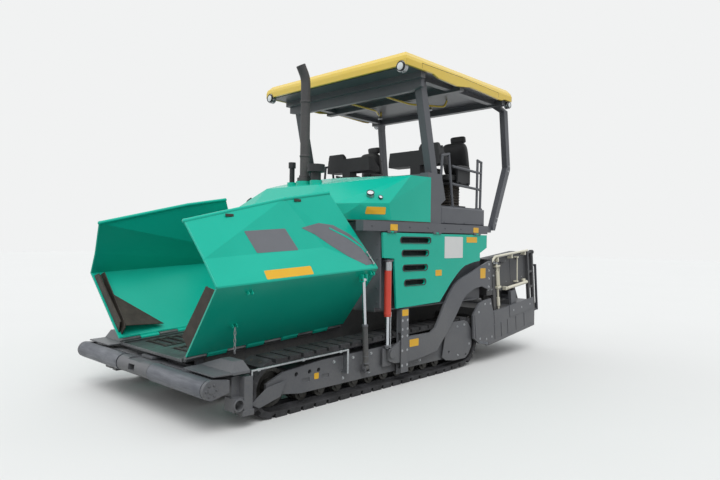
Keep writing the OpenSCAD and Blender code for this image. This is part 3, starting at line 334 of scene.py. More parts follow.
lamp_glass = clear_glass("fluted lamp glass", "E8EEF0")
screen_glass = clear_glass("dark display glass", "15181C")
yellow_vinyl = printed_vinyl("blank yellow vinyl", "F4BE22", "F0B41C")
white_vinyl = printed_vinyl("blank white vinyl", "EDEEEC", "E4E6E6")
grey_vinyl = printed_vinyl("grey vinyl stripe", "6E7076", "76787E")
cream_paint = sprayed_steel("cream enamel", "E4E0C8", "EFEBDC", gloss=0.35, coat=0.2, dust_share=0.1)
deck_plate = tread_plate("tread plate deck", "47494E", "8A8C90")
trim = (lamp_glass, screen_glass, yellow_vinyl, white_vinyl, grey_vinyl, cream_paint, deck_plate)
print("trim:", [m.name for m in trim])

# %% [markdown]
# Every solid gets the finish of its real counterpart. The mesh of a solid is never changed:
# only the material in its slots is swapped.

# %% Finishes of the solids
FINISH_OF = {
    turquoise: ["hopper_wing_left", "hopper_wing_right", "hood", "side_door_left", "side_door_right"],
    anthracite: ["front_frame", "body_shell", "platform", "toolboxes", "roof_frame", "tow_columns",
                 "push_beam", "screed_arms", "screed_extension_left", "screed_extension_right",
                 "track_frames", "handrails"],
    dark_grey: ["frame", "screed_base", "screed_towers", "auger_holder", "wing_barrel_left",
                "wing_barrel_right", "lift_barrels"],
    wear_plate: ["hopper_floor"],
    cast_steel: ["conveyor_bars", "track_wheels", "engine_block"],
    pad_rubber: ["track_left", "track_right"],
    flap_rubber: ["wing_flap_left", "wing_flap_right"],
    roller_steel: ["push_roller_left", "push_roller_right"],
    hard_chrome: ["levelling_rods", "wing_rod_left", "wing_rod_right", "lift_rods", "screed_tube_left",
                  "screed_tube_right"],
    zinc: ["indicator_rod", "roof_lamps", "headlamps"],
    auger_steel: ["auger_left", "auger_right"],
    signal_red: ["levelling_cylinders"],
    soot_black: ["exhaust"],
    black_abs: ["consoles", "air_precleaner", "hood_louvres", "seat_frames"],
    vinyl: ["seat_pads"],
    roof_yellow: ["roof_shell"],
    deck_plate: ["screed_walkway"],
    cream_paint: ["screed_rails"],
}
for finish, names in FINISH_OF.items():
    for name in names:
        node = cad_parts[name]
        node.data.materials.clear()
        node.data.materials.append(finish)
dressed = {n for names in FINISH_OF.values() for n in names}
print("solids without a finish:", sorted(set(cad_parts) - dressed))

# %% [markdown]
# Helpers for the added pieces. Each piece is a mesh at the origin with its place in its points.
# A piece that is cut from sheet or bar gets a small Bevel modifier for its real edge radius.

# %% Piece helpers
def add_piece(name, mesh, finish, body):
    """Links a mesh as an object in one finish that rides on a body."""
    piece = link(bpy.data.objects.new(name, mesh))
    mesh.materials.clear()
    mesh.materials.append(finish)
    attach(piece, body)
    return piece


CREASE = math.radians(35)   # a sharper turn than this stays an edge


def finish_piece(name, shape, finish, body, edge=0.0, smooth=True):
    """Turns a bmesh into a piece; edge is the radius that its sharp edges get."""
    bmesh.ops.recalc_face_normals(shape, faces=shape.faces)
    mesh = bpy.data.meshes.new(name)
    shape.to_mesh(mesh)
    shape.free()
    for face in mesh.polygons:
        face.use_smooth = smooth
    piece = add_piece(name, mesh, finish, body)
    if edge:
        rounding = piece.modifiers.new("edge radius", "BEVEL")
        rounding.width = edge
        rounding.segments = 2
        rounding.limit_method = "ANGLE"
        rounding.angle_limit = CREASE
    if smooth:
        crisp = piece.modifiers.new("even shading", "WEIGHTED_NORMAL")
        crisp.keep_sharp = True
        mesh.set_sharp_from_angle(angle=CREASE)
    return piece


def push(shape, faces, depth):
    """Gives flat faces a thickness along the depth vector."""
    pushed = bmesh.ops.extrude_face_region(shape, geom=faces)["geom"]
    bmesh.ops.translate(shape, verts=[g for g in pushed if isinstance(g, bmesh.types.BMVert)], vec=depth)


def slab(shape, corners, depth):
    """Adds a flat plate: corners in a ring, pushed through by the depth vector."""
    push(shape, [shape.faces.new([shape.verts.new(c) for c in corners])], depth)


def facing_matrix(spot, way):
    """A matrix that stands at a spot with its Z along a way."""
    return Matrix.Translation(Vector(spot)) @ Vector(way).to_track_quat("Z", "Y").to_matrix().to_4x4()


def block(shape, low, high):
    """Adds a box between two corners, given in any order."""
    middle = [(a + b) / 2 for a, b in zip(low, high)]
    size = [abs(b - a) for a, b in zip(low, high)]
    bmesh.ops.create_cube(shape, size=1, matrix=Matrix.Translation(middle) @ Matrix.Diagonal((*size, 1)))


def around(count):
    """Equal steps of a full turn."""
    return [2 * math.pi * i / count for i in range(count)]


def ring_edges(shape, points):
    """Adds a closed ring of edges through the points."""
    ring = [shape.verts.new(p) for p in points]
    return [shape.edges.new(pair) for pair in zip(ring, ring[1:] + ring[:1])]


def bridge(shape, rings):
    """Joins each ring of edges to the next one with faces."""
    for low, high in zip(rings, rings[1:]):
        bmesh.ops.bridge_loops(shape, edges=low + high)


def turned(shape, start, end, profile, steps=32):
    """Adds a turned part: profile is (distance along, radius) pairs, spun about the line start to end."""
    start = Vector(start)
    matrix = facing_matrix(start, Vector(end) - start)
    ring = [shape.verts.new(matrix @ Vector((r, 0, d))) for d, r in profile]
    edges = [shape.edges.new(pair) for pair in zip(ring, ring[1:])]
    axis = (matrix.to_3x3() @ Vector((0, 0, 1))).normalized()
    bmesh.ops.spin(shape, geom=ring + edges, cent=start, axis=axis, angle=2 * math.pi, steps=steps,
                   use_merge=True)
    bmesh.ops.remove_doubles(shape, verts=shape.verts, dist=1e-6)


def rod(length, radius, start=0.0):
    """Profile of a plain round bar, for turned."""
    return [(start, 0.0), (start, radius), (length, radius), (length, 0.0)]


def swept(name, points, radius, finish, body, corner=0.05, closed=False):
    """A bent bar or pipe: a rounded path through the points with a round section, turned into a mesh."""
    path = bpy.data.curves.new(name, "CURVE")
    path.dimensions = "3D"
    path.bevel_depth = radius
    path.bevel_resolution = 4
    path.resolution_u = 6
    path.use_fill_caps = not closed
    rounded = round_corners([Vector(p) for p in points], corner)
    line = path.splines.new("POLY")
    line.points.add(len(rounded) - 1)
    for spot, p in zip(line.points, rounded):
        spot.co = (*p, 1)
    line.use_cyclic_u = closed
    holder = link(bpy.data.objects.new(name, path))
    mesh = bpy.data.meshes.new_from_object(holder.evaluated_get(bpy.context.evaluated_depsgraph_get()))
    bpy.data.objects.remove(holder)
    for face in mesh.polygons:
        face.use_smooth = True
    return add_piece(name, mesh, finish, body)


def round_corners(points, reach, steps=6):
    """Replaces each inner corner of a path by a smooth bend that starts a reach before it."""
    path = [points[0]]
    for before, corner, after in zip(points, points[1:], points[2:]):
        cut = min(reach, (corner - before).length * 0.45, (after - corner).length * 0.45)
        start = corner + (before - corner).normalized() * cut
        end = corner + (after - corner).normalized() * cut
        for i in range(steps + 1):
            t = i / steps
            path.append(start * (1 - t) ** 2 + corner * 2 * t * (1 - t) + end * t ** 2)
    path.append(points[-1])
    return path


SKINS = {}


def drop(node, spot, toward, reach=0.15):
    """Where a line through spot first meets a solid from outside, or None."""
    if node not in SKINS:
        SKINS[node] = BVHTree.FromObject(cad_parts[node], bpy.context.evaluated_depsgraph_get())
    toward = Vector(toward).normalized()
    return SKINS[node].ray_cast(Vector(spot) - toward * reach, toward, 2 * reach)[0]


def bolt_heads(name, spots, facing, across, finish, body, node, tall=None):
    """Hexagon heads with washers, each dropped onto a solid along its own axis."""
    shape = bmesh.new()
    facing = Vector(facing).normalized()
    washer = (across * 0.75, 16, 0.0, 0.002)
    head = (across * 0.577, 6, 0.001, tall or across * 0.45)
    for spot in spots:
        seat = drop(node, spot, -facing)
        if seat is None:
            print("bolt of", name, "misses the solid at", spot)
            continue
        place = facing_matrix(seat - facing * 0.0004, facing)
        for radius, sides, low, high in (washer, head):
            lift = Matrix.Translation((0, 0, (low + high) / 2))
            bmesh.ops.create_cone(shape, cap_ends=True, segments=sides, radius1=radius, radius2=radius * 0.94,
                                  depth=high - low, matrix=place @ lift)
    return finish_piece(name, shape, finish, body, smooth=False)


SIDES = (("left", 1), ("right", -1))
print("piece helpers ready")

# %% [markdown]
# The hopper wings carry printed stripes, on the real machine cut vinyl film laid on folded faces.
# Each film here starts as an outline seen from the side. It is cut into cells, dropped onto the
# folded sheet by a ray and given 1.2 mm of thickness, so it follows the folds and never flickers.

# %% Wing stripes
SLANTED_PATCH = [(2.439, 1.018, 1.713), (1.960, 1.018, 1.747), (1.851, 1.097, 1.540), (2.344, 1.094, 1.514)]
SWOOSH = [(1.749, 1.006, 1.758), (1.530, 1.031, 1.813), (1.354, 1.065, 1.796), (1.159, 1.122, 1.705),
          (0.997, 1.187, 1.561), (0.921, 1.242, 1.393), (1.022, 1.228, 1.379), (1.233, 1.168, 1.474),
          (1.421, 1.108, 1.582), (1.601, 1.047, 1.698)]
SWOOSH_LINE = [(1.410, 1.064, 1.772), (1.192, 1.124, 1.682), (1.024, 1.181, 1.575), (0.955, 1.217, 1.476),
               (0.972, 1.214, 1.467), (1.040, 1.179, 1.558), (1.204, 1.124, 1.662), (1.412, 1.066, 1.756)]
# measured on the folded faces from the photograph
LONG_LABEL = [(2.350, 1.211, 1.358), (1.789, 1.214, 1.389), (1.789, 1.270, 1.312), (2.350, 1.270, 1.281)]
FILM = 0.0012


def film_on(name, ring, node, toward, finish, body, corner=0.0, lift=0.0, cell=0.06):
    """Lays a film on a solid: the ring is filled, cut into cells and dropped on the solid's face."""
    toward = Vector(toward).normalized()
    shape = bmesh.new()
    shape.faces.new([shape.verts.new(c) for c in ring])
    if corner:
        bmesh.ops.bevel(shape, geom=shape.verts[:], offset=corner, offset_type="OFFSET", segments=4,
                        profile=0.5, affect="VERTICES", material=-1)
    for axis in range(3):
        if abs(toward[axis]) > 0.7:
            continue
        normal = Vector([1.0 if i == axis else 0.0 for i in range(3)])
        low = min(v.co[axis] for v in shape.verts)
        high = max(v.co[axis] for v in shape.verts)
        for i in range(1, int((high - low) / cell) + 1):
            cut = normal * (low + i * cell)
            bmesh.ops.bisect_plane(shape, geom=shape.verts[:] + shape.edges[:] + shape.faces[:],
                                   plane_co=cut, plane_no=normal)
    missed = 0
    for v in shape.verts:
        spot = drop(node, v.co, toward, 0.25)
        if spot is None:
            missed += 1
            continue
        v.co = spot - toward * (0.0006 + lift)
    push(shape, shape.faces[:], -toward * FILM)
    if missed:
        print("film", name, "missed the solid at", missed, "points")
    return finish_piece(name, shape, finish, body, smooth=False)


for side, s in SIDES:
    wing = "wing_" + side
    for name, ring, finish, lift, corner in (("slanted_patch", SLANTED_PATCH, grey_vinyl, 0.0, 0.012),
                                             ("swoosh", SWOOSH, grey_vinyl, 0.0005, 0.0),
                                             ("swoosh_line", SWOOSH_LINE, turquoise, 0.0018, 0.0),
                                             ("wing_label", LONG_LABEL, yellow_vinyl, 0.0005, 0.012)):
        film_on(f"{name}_{side}", [(x, s * y, z) for x, y, z in ring], "hopper_wing_" + side, (0, -s, 0),
                finish, wing, corner=corner, lift=lift)
print("wing stripes laid on both wings")

# %% [markdown]
# Labels on the body are blank yellow film on upright plates and on the hood, and one white sheet
# hangs on each side door. They are placed from the photograph on the face that carries them.

# %% Body labels
LABEL_SIDE = 1.25   # each film starts at this distance from the middle
BODY_LABELS = [  # name, body, solid, finish, x from, x to, z from, z to
    ("beam_label_front", "chassis", "body_shell", yellow_vinyl, 0.523, 0.652, 1.756, 1.826),
    ("beam_label_rear", "chassis", "body_shell", yellow_vinyl, -1.165, -1.040, 1.758, 1.826),
    ("column_label", "chassis", "tow_columns", yellow_vinyl, 0.340, 0.450, 0.790, 0.862),
    ("arm_label_low", "screed", "screed_arms", yellow_vinyl, 0.120, 0.290, 0.420, 0.505),
    ("arm_label_high", "screed", "screed_arms", yellow_vinyl, -1.345, -1.215, 1.150, 1.285),
    ("hood_label", "chassis", "hood", yellow_vinyl, 0.700, 0.900, 1.930, 2.010),
    ("door_label_top", "door_{}", "side_door_{}", yellow_vinyl, -1.130, -0.880, 1.628, 1.700),
    ("door_label_small", "door_{}", "side_door_{}", yellow_vinyl, -0.335, -0.205, 1.220, 1.292),
    ("door_sheet", "door_{}", "side_door_{}", white_vinyl, -0.794, -0.390, 1.432, 1.700),
    ("frame_label", "chassis", "track_frames", yellow_vinyl, 1.640, 1.700, 0.270, 0.330),
]
for side, s in SIDES:
    for name, body, node, finish, x0, x1, z0, z1 in BODY_LABELS:
        ring = [(x, s * LABEL_SIDE, z) for x, z in ((x0, z0), (x1, z0), (x1, z1), (x0, z1))]
        curved = node == "hood"   # finer cells and more lift where the face is folded
        film_on(f"{name}_{side}", ring, node.format(side), (0, -s, 0), finish, body.format(side), corner=0.01,
                cell=0.015 if curved else 0.06, lift=0.001 if curved else 0.0)
print("labels:", len(BODY_LABELS), "a side")

# %% [markdown]
# The exhaust is one pipe of 116 mm, bent forward at its mouth and open at the end. A path with a
# rounded corner gives the bend. A foot flange, a collar and two clamps are turned round it.

# %% Exhaust
STACK = (0.870, 0.060)
STACK_RINGS = ((2.345, 2.390, 0.090), (2.390, 2.420, 0.068), (2.640, 2.665, 0.064), (3.300, 3.325, 0.064))


def stack_pipe():
    """The pipe's wall and its clamps."""
    x, y = STACK
    corners = [Vector((x, y, 2.375)), Vector((x, y, 3.600)), Vector((x + 0.085, y, 3.742))]
    route = round_corners(corners, 0.16, 8)
    shape = bmesh.new()
    rings = []
    for i, p in enumerate(route):
        way = (route[min(i + 1, len(route) - 1)] - route[max(i - 1, 0)]).normalized()
        made = bmesh.ops.create_circle(shape, segments=40, radius=0.058, matrix=facing_matrix(p, way))
        verts = made["verts"]
        rings.append([e for e in shape.edges if e.verts[0] in verts and e.verts[1] in verts])
    bridge(shape, rings)
    bmesh.ops.recalc_face_normals(shape, faces=shape.faces)
    bmesh.ops.solidify(shape, geom=shape.faces[:], thickness=0.004)
    for z0, z1, r in STACK_RINGS:
        tall = z1 - z0
        turned(shape, (x, y, z0), (x, y, z1), [(0, 0.056), (0, r - 0.004), (0.004, r), (tall - 0.004, r),
                                               (tall, r - 0.004), (tall, 0.056)])
    return finish_piece("exhaust_pipe", shape, soot_black, "chassis")


exhaust_pipe = stack_pipe()
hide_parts("exhaust")
print("exhaust pipe:", len(exhaust_pipe.data.polygons), "faces")

# %% [markdown]
# The driver and a mate sit on two suspended seats in black vinyl. A seat pad is foam in a sewn
# cover: its faces crown and its corners are round. Each pad starts as a subdivided block, and
# the cushions and backs get channels across, as if sewn.

# %% Seat pads
SEAT_Y = 0.790
SEAT_LEAN = math.radians(-78)


def foam_pad(name, middle, size, lean, crown, channels=0):
    """A crowned pad: size along its own x, y, z; lean turns it about Y; channels are sewn across."""
    shape = bmesh.new()
    bmesh.ops.create_cube(shape, size=1)
    bmesh.ops.subdivide_edges(shape, edges=shape.edges[:], cuts=11, use_grid_fill=True)
    for v in shape.verts:
        u = v.co * 2
        fall = [1 - abs(c) ** 3 for c in u]
        grow = Vector((fall[1] * fall[2] * u.x * 0.25, fall[0] * fall[2] * u.y * 0.25,
                       fall[0] * fall[1] * u.z)) * crown
        seam = 0.0
        if channels:
            seam = max(math.cos(u.x * math.pi * channels / 2) ** 16, 0) * (1 - abs(u.y) ** 6) * 0.35
        rounded = u / max(1.0, (abs(u.x) ** 5 + abs(u.y) ** 5 + abs(u.z) ** 5) ** 0.2)
        v.co = Vector((rounded.x * size[0] / 2, rounded.y * size[1] / 2, rounded.z * size[2] / 2)) + grow
        if u.z > 0.5:
            v.co.z -= seam * crown
    bmesh.ops.transform(shape, matrix=Matrix.Translation(middle) @ Matrix.Rotation(lean, 4, "Y"),
                        verts=shape.verts)
    pad = finish_piece(name, shape, vinyl, "chassis")
    soft = pad.modifiers.new("foam", "SUBSURF")
    soft.levels = soft.render_levels = 1
    return pad


seat_pieces = []
for side, s in SIDES:
    y = s * SEAT_Y
    seat_pieces += [
        foam_pad(f"seat_cushion_{side}", (-1.048, y, 2.487), (0.39, 0.40, 0.10), 0.0, 0.012, channels=3),
        foam_pad(f"seat_back_{side}", (-1.286, y, 2.780), (0.46, 0.40, 0.085), SEAT_LEAN, 0.012, channels=3),
        foam_pad(f"seat_head_{side}", (-1.343, y, 3.062), (0.10, 0.235, 0.055), SEAT_LEAN, 0.004),
    ]
for piece in seat_pieces:
    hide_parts("seat_pads")
print("seat pads:", [p.name for p in seat_pieces])

# %% [markdown]
# Work lamps: a turned black bezel and a fluted glass that bulges a few millimetres.
# Spinning one profile about the lamp's own axis makes the bezel, and a second one the lens.

# %% Lamps
def round_lamp(name, centre, facing, radius, body="chassis"):
    """A bezel ring and a domed lens in front of the housing at centre."""
    centre, facing = Vector(centre), Vector(facing).normalized()
    ring = bmesh.new()
    turned(ring, centre, centre + facing,
           [(-0.008, radius * 0.90), (-0.008, radius * 1.10), (0.004, radius * 1.16), (0.010, radius * 1.12),
            (0.011, radius * 1.00), (0.006, radius * 0.96), (-0.008, radius * 0.90)], 40)
    finish_piece(name + "_bezel", ring, black_abs, body)
    dome = bmesh.new()
    turned(dome, centre, centre + facing,
           [(0.0115, 0.0), (0.0112, radius * 0.3), (0.0100, radius * 0.6), (0.0080, radius * 0.85),
            (0.0060, radius * 0.94), (0.0004, radius * 0.94), (0.0004, 0.0)], 40)
    finish_piece(name + "_lens", dome, lamp_glass, body)


for side, s in SIDES:
    round_lamp(f"roof_lamp_front_{side}", (0.441, s * 1.190, 3.630), (1, 0, 0), 0.048)
    round_lamp(f"roof_lamp_rear_{side}", (-1.913, s * 1.2635, 3.5897), (0, s, 0), 0.0385)
    round_lamp(f"hood_lamp_{side}", (0.8314, s * 1.1103, 2.1641), (0.4730, s * 0.4714, 0.7443), 0.038)
    outward = Vector((0.3, s * 0.7, 0.65))
    seat = drop("hood", (0.735, s * 1.175, 2.12), -outward, 0.3)
    round_lamp(f"hood_marker_{side}", seat + outward.normalized() * 0.008, outward, 0.022)
print("lamps: 4 a side")

# %% [markdown]
# Trim on hood and body: a black rubber seal where the hood meets the beam, a fine dark seam
# along the roof, and a grille behind the four slots of each side door. A grille is folded slats,
# tilted so that air gets in and rain stays out. Each slat is one strip, repeated. A dark plate
# lies round each slot as painted shade: it stands for the shaded, inward-pressed door sheet there,
# so the dark opening is as wide as the slot looks in the photograph.

# %% Seals, roof seam and door grilles
def strip(shape, start, end, across, deep):
    """A straight bar with a flat section, from two section vectors."""
    a, d = Vector(across) / 2, Vector(deep) / 2
    start = Vector(start)
    slab(shape, [start - a - d, start + a - d, start + a + d, start - a + d], Vector(end) - start)


HOOD_FOOT = [(-0.095, 1.2445), (0.620, 1.2445), (1.153, 0.9065), (1.336, 0.484), (1.336, -0.484)]
HOOD_FOOT_Z = 1.8615
seal = bmesh.new()
for s in (1, -1):
    for a, b in zip(HOOD_FOOT[:3 + (s > 0)], HOOD_FOOT[1:]):
        strip(seal, (a[0], s * a[1], HOOD_FOOT_Z), (b[0], s * b[1], HOOD_FOOT_Z), (0, 0, 0.012),
              (0.003, s * 0.008, 0))
finish_piece("hood_seal", seal, flap_rubber, "chassis")

# the roof's seam, x and z, and its side, which is the machine's widest face
ROOF_SEAM = [((0.142, 3.715), (-0.700, 3.722)), ((-0.700, 3.722), (-1.596, 3.700)),
             ((0.142, 3.715), (0.142, 3.655)), ((-1.596, 3.700), (-1.596, 3.640))]
ROOF_SIDE = 1.2749
for side, s in SIDES:
    line = bmesh.new()
    for (x0, z0), (x1, z1) in ROOF_SEAM:
        strip(line, (x0, s * ROOF_SIDE, z0), (x1, s * ROOF_SIDE, z1), (0.0045, 0, 0.0045), (0, s * 0.0006, 0))
    finish_piece("roof_seam_" + side, line, flap_rubber, "chassis")

DOOR_SLOTS = [(-0.060, 0.430, 1.650), (-0.020, 0.400, 1.500), (0.000, 0.380, 1.330), (0.030, 0.350, 1.160)]
HALF_ROUND = 9   # points on each end of a slot's outline


def slot_outline(x0, x1, y, z, reach, spread=0.0):
    """A long oval round a slot: two half circles of a reach, drawn apart by a spread."""
    ring = []
    for middle, start in ((x1 + spread, -90), (x0 - spread, 90)):
        for i in range(HALF_ROUND):
            angle = math.radians(start + 180 * i / (HALF_ROUND - 1))
            ring.append(Vector((middle + reach * math.cos(angle), y, z + reach * math.sin(angle))))
    return ring


for side, s in SIDES:
    slats = bmesh.new()
    for x0, x1, z in DOOR_SLOTS:
        for k in range(5):
            low = z - 0.028 + k * 0.014
            strip(slats, (x0 - 0.034, s * 1.2165, low), (x1 + 0.034, s * 1.2165, low), (0, s * -0.012, 0.010),
                  (0, 0.0006, 0.0010))
        for x in (x0 - 0.03, x0 + (x1 - x0) / 3, x0 + (x1 - x0) * 2 / 3, x1 + 0.03):
            strip(slats, (x, s * 1.2225, z - 0.036), (x, s * 1.2225, z + 0.036), (0.005, 0, 0), (0, 0.004, 0))
    finish_piece("door_slats_" + side, slats, black_abs, "door_" + side)
    # painted shade: a dark plate round each slot stands for the shaded, inward-pressed door sheet
    frames = bmesh.new()
    for number, (x0, x1, z) in enumerate(DOOR_SLOTS):
        inner = slot_outline(x0, x1, s * 1.2502, z, 0.0285)
        outer = slot_outline(x0, x1, s * 1.2502, z, 0.0440, 0.012)
        edges = ring_edges(frames, inner) + ring_edges(frames, outer)
        push(frames, bmesh.ops.bridge_loops(frames, edges=edges)["faces"], (0, s * 0.0012, 0))
        swept(f"slot_rim_{number}_{side}", outer, 0.0035, turquoise, "door_" + side,
              corner=0.0, closed=True)
    finish_piece("painted_slot_shade_" + side, frames, black_abs, "door_" + side)
print("seals, seams and grilles fitted")

# %% [markdown]
# Bolts: covers and brackets are held by hexagon bolts, 12 to 24 mm across flats. One function
# stamps heads along a list of spots and drops each on its solid by a ray, so none floats.

# %% Bolts
COVER_BOLTS = ((-0.900, 0.560), (-0.740, 0.550), (-1.020, 0.300), (-0.760, 0.180))
POST_BOLTS = ((-1.70, 1.90), (-1.73, 1.97), (-2.02, 2.66), (-2.045, 2.735))
FRAME_BOLTS = [(-0.25 + 0.28 * i, 0.440 - 0.006 * i) for i in range(7)]
FRAME_BOLTS += [(0.9, 0.22), (1.3, 0.22), (0.0, 0.22)]
BEAM_END = (2.915, 0.390)   # the push rollers' axis, x and z
BEAM_END_BOLTS = [(BEAM_END[0] + 0.050 * math.cos(a), BEAM_END[1] + 0.050 * math.sin(a))
                  for a in around(6)]
COLUMN_BOLTS = [(x, z) for x in (0.350, 0.440) for z in (0.230, 0.400, 0.560, 0.640, 0.740)]
BEAM_BOLTS = [(x, 1.800) for x in (0.950, 0.300, -0.050, -0.400, -0.750)]
FLOOR_WING_BOLTS = [(0.770, z) for z in (0.96, 1.12, 1.28, 1.44, 1.60)]
BOX_BOLTS = [(x, 1.885) for x in (-1.33, -0.9, -0.45)]
OUTWARD, AHEAD = (0, 1), (1, 0)   # which way a row of bolts faces: x, and y from the middle
SIDE_BOLTS = [  # name, spots in x and z, y of the face, way, width across flats, finish, body, solid, height
    ("frame_bolts", FRAME_BOLTS, 1.183, OUTWARD, 0.024, zinc, "chassis", "track_frames", None),
    ("cover_bolts", COVER_BOLTS, 1.218, OUTWARD, 0.022, zinc, "chassis", "track_frames", None),
    ("beam_end_bolts", BEAM_END_BOLTS, 1.268, OUTWARD, 0.019, anthracite, "push_beam", "push_beam", 0.0065),
    ("column_bolts", COLUMN_BOLTS, 1.272, OUTWARD, 0.020, zinc, "chassis", "tow_columns", 0.003),
    ("top_beam_bolts", BEAM_BOLTS, 1.250, OUTWARD, 0.014, anthracite, "chassis", "body_shell", None),
    ("floor_wing_bolts", FLOOR_WING_BOLTS, 1.170, AHEAD, 0.016, anthracite, "chassis", "body_shell", None),
    ("toolbox_bolts", BOX_BOLTS, 1.200, OUTWARD, 0.012, anthracite, "chassis", "toolboxes", None),
    ("post_bolts", POST_BOLTS, 1.200, OUTWARD, 0.020, zinc, "chassis", "roof_frame", None),
]
for side, s in SIDES:
    for name, spots, y, way, across, finish, body, node, tall in SIDE_BOLTS:
        bolt_heads(f"{name}_{side}", [(x, s * y, z) for x, z in spots], (way[0], s * way[1], 0), across,
                   finish, body, node, tall)
    fittings = bmesh.new()
    turned(fittings, (0.605, s * 1.266, 0.380), (0.605, s * 1.272, 0.380),
           [(-0.001, 0.0), (-0.001, 0.044), (0.003, 0.047), (0.006, 0.044), (0.007, 0.0)], 40)
    turned(fittings, (2.640, s * 1.2570, 0.215), (2.640, s * 1.270, 0.215),
           [(0, 0.0425), (0, 0.058), (0.010, 0.058), (0.013, 0.055), (0.013, 0.0425), (0, 0.0425)], 48)
    finish_piece("caps_" + side, fittings, anthracite, "chassis")
    cap = bmesh.new()
    turned(cap, (BEAM_END[0], s * 1.2675, BEAM_END[1]), (BEAM_END[0], s * 1.270, BEAM_END[1]),
           [(0, 0.0), (0, 0.032), (0.004, 0.030), (0.005, 0.0)], 32)
    finish_piece("roller_cap_" + side, cap, anthracite, "push_beam")
print("bolts fitted")

# %% [markdown]
# The hopper: lashing lugs on each wing with a short chain, a latch bar near the fold and two
# rubber buffers on the upper panel. A chain link is a round bar bent to an oval, made as rings
# of points that are bridged, and each next link is turned a quarter. Lugs are 10 mm plate.

# %% Hopper fittings
LINK_STEPS, WIRE_STEPS = 16, 6


def link_ring(shape, centre, down, turn, length, width, wire):
    """One oval link whose long way runs along down."""
    down = down.normalized()
    across = Matrix.Rotation(turn, 3, down) @ down.orthogonal().normalized()
    normal = down.cross(across)
    reach, bend = (length - width) / 2, width / 2 - wire
    path = []
    for a in around(LINK_STEPS):
        half = reach if math.sin(a) > 0 else -reach
        path.append(centre + down * (bend * math.sin(a) + half) + across * bend * math.cos(a))
    loops = []
    for k, p in enumerate(path):
        way = (path[(k + 1) % LINK_STEPS] - path[k - 1]).normalized()
        out = normal.cross(way).normalized()
        section = [(normal * math.cos(b) + out * math.sin(b)) * wire for b in around(WIRE_STEPS)]
        loops.append(ring_edges(shape, [p + reach_out for reach_out in section]))
    bridge(shape, loops + loops[:1])


def chain(name, top, links, body):
    """Links hang one below the other, each turned a quarter."""
    shape = bmesh.new()
    down = Vector((0, 0, -1))
    for k in range(links):
        link_ring(shape, top + down * 0.034 * k, down, math.radians(90 * (k % 2) + 20), 0.046, 0.026, 0.0032)
    return finish_piece(name, shape, zinc, body)


LUG = [(-0.018, -0.004), (0.018, -0.004), (0.016, 0.030), (0.008, 0.040), (-0.008, 0.040), (-0.016, 0.030)]
CHAIN_LUG = (2.469, 0.917, 0.854)
LUG_SPOTS = [(2.505, 1.200, 1.179), CHAIN_LUG, (0.935, 1.214, 1.300)]
LATCH = [(0.985, 1.190, 1.515), (0.925, 1.235, 1.400)]
for side, s in SIDES:
    panel, wing = "hopper_wing_" + side, "wing_" + side
    outward, up = Vector((0, s * 0.775, -0.632)), Vector((0, s * 0.632, 0.775))   # of the lower panel
    lugs = bmesh.new()
    for x, y, z in LUG_SPOTS:
        seat = drop(panel, (x, s * y, z), (0, -s, 0.2), 0.25)
        for shift in (-0.022, 0.022):
            corners = [seat + Vector((shift - 0.005, 0, 0)) + outward * h + up * w for w, h in LUG]
            slab(lugs, corners, (0.010, 0, 0))
    finish_piece("wing_lugs_" + side, lugs, turquoise, wing, edge=0.0015, smooth=False)
    seat = drop(panel, (CHAIN_LUG[0], s * CHAIN_LUG[1], CHAIN_LUG[2]), (0, -s, 0.2), 0.25)
    chain("wing_chain_" + side, seat + Vector((0, s * 0.026, -0.042)), 7, wing)
    latch = bmesh.new()
    a, b = [drop(panel, (x, s * y, z), (0, -s, 0), 0.25) for x, y, z in LATCH]
    stand = Vector((0, s * 0.012, 0.004))
    turned(latch, a + stand, b + stand, rod((b - a).length, 0.007), 12)
    for p in (a, b, a * 0.5 + b * 0.5):
        bmesh.ops.create_cube(latch, size=0.024, matrix=Matrix.Translation(p + Vector((0, s * 0.006, 0))))
    finish_piece("wing_latch_" + side, latch, zinc, wing, edge=0.002)
    buffers = bmesh.new()
    for x, y, z in ((2.529, 0.899, 1.872), (1.736, 0.918, 2.052)):
        middle = Vector((x, s * (y + 0.024), z - 0.016))
        half = Vector((0.0425, 0.007, 0.013))
        block(buffers, middle - half, middle + half)
    finish_piece("wing_buffers_" + side, buffers, flap_rubber, wing, edge=0.004)
print("hopper fittings done")

# %% [markdown]
# A folded strip stands in from each wing's front edge and keeps the mix from falling off in
# front. It runs from above the hinge to below the fold, and its free edge is turned back. The
# solid flap is a flat plate further back, so a web on the panel's face joins the two.

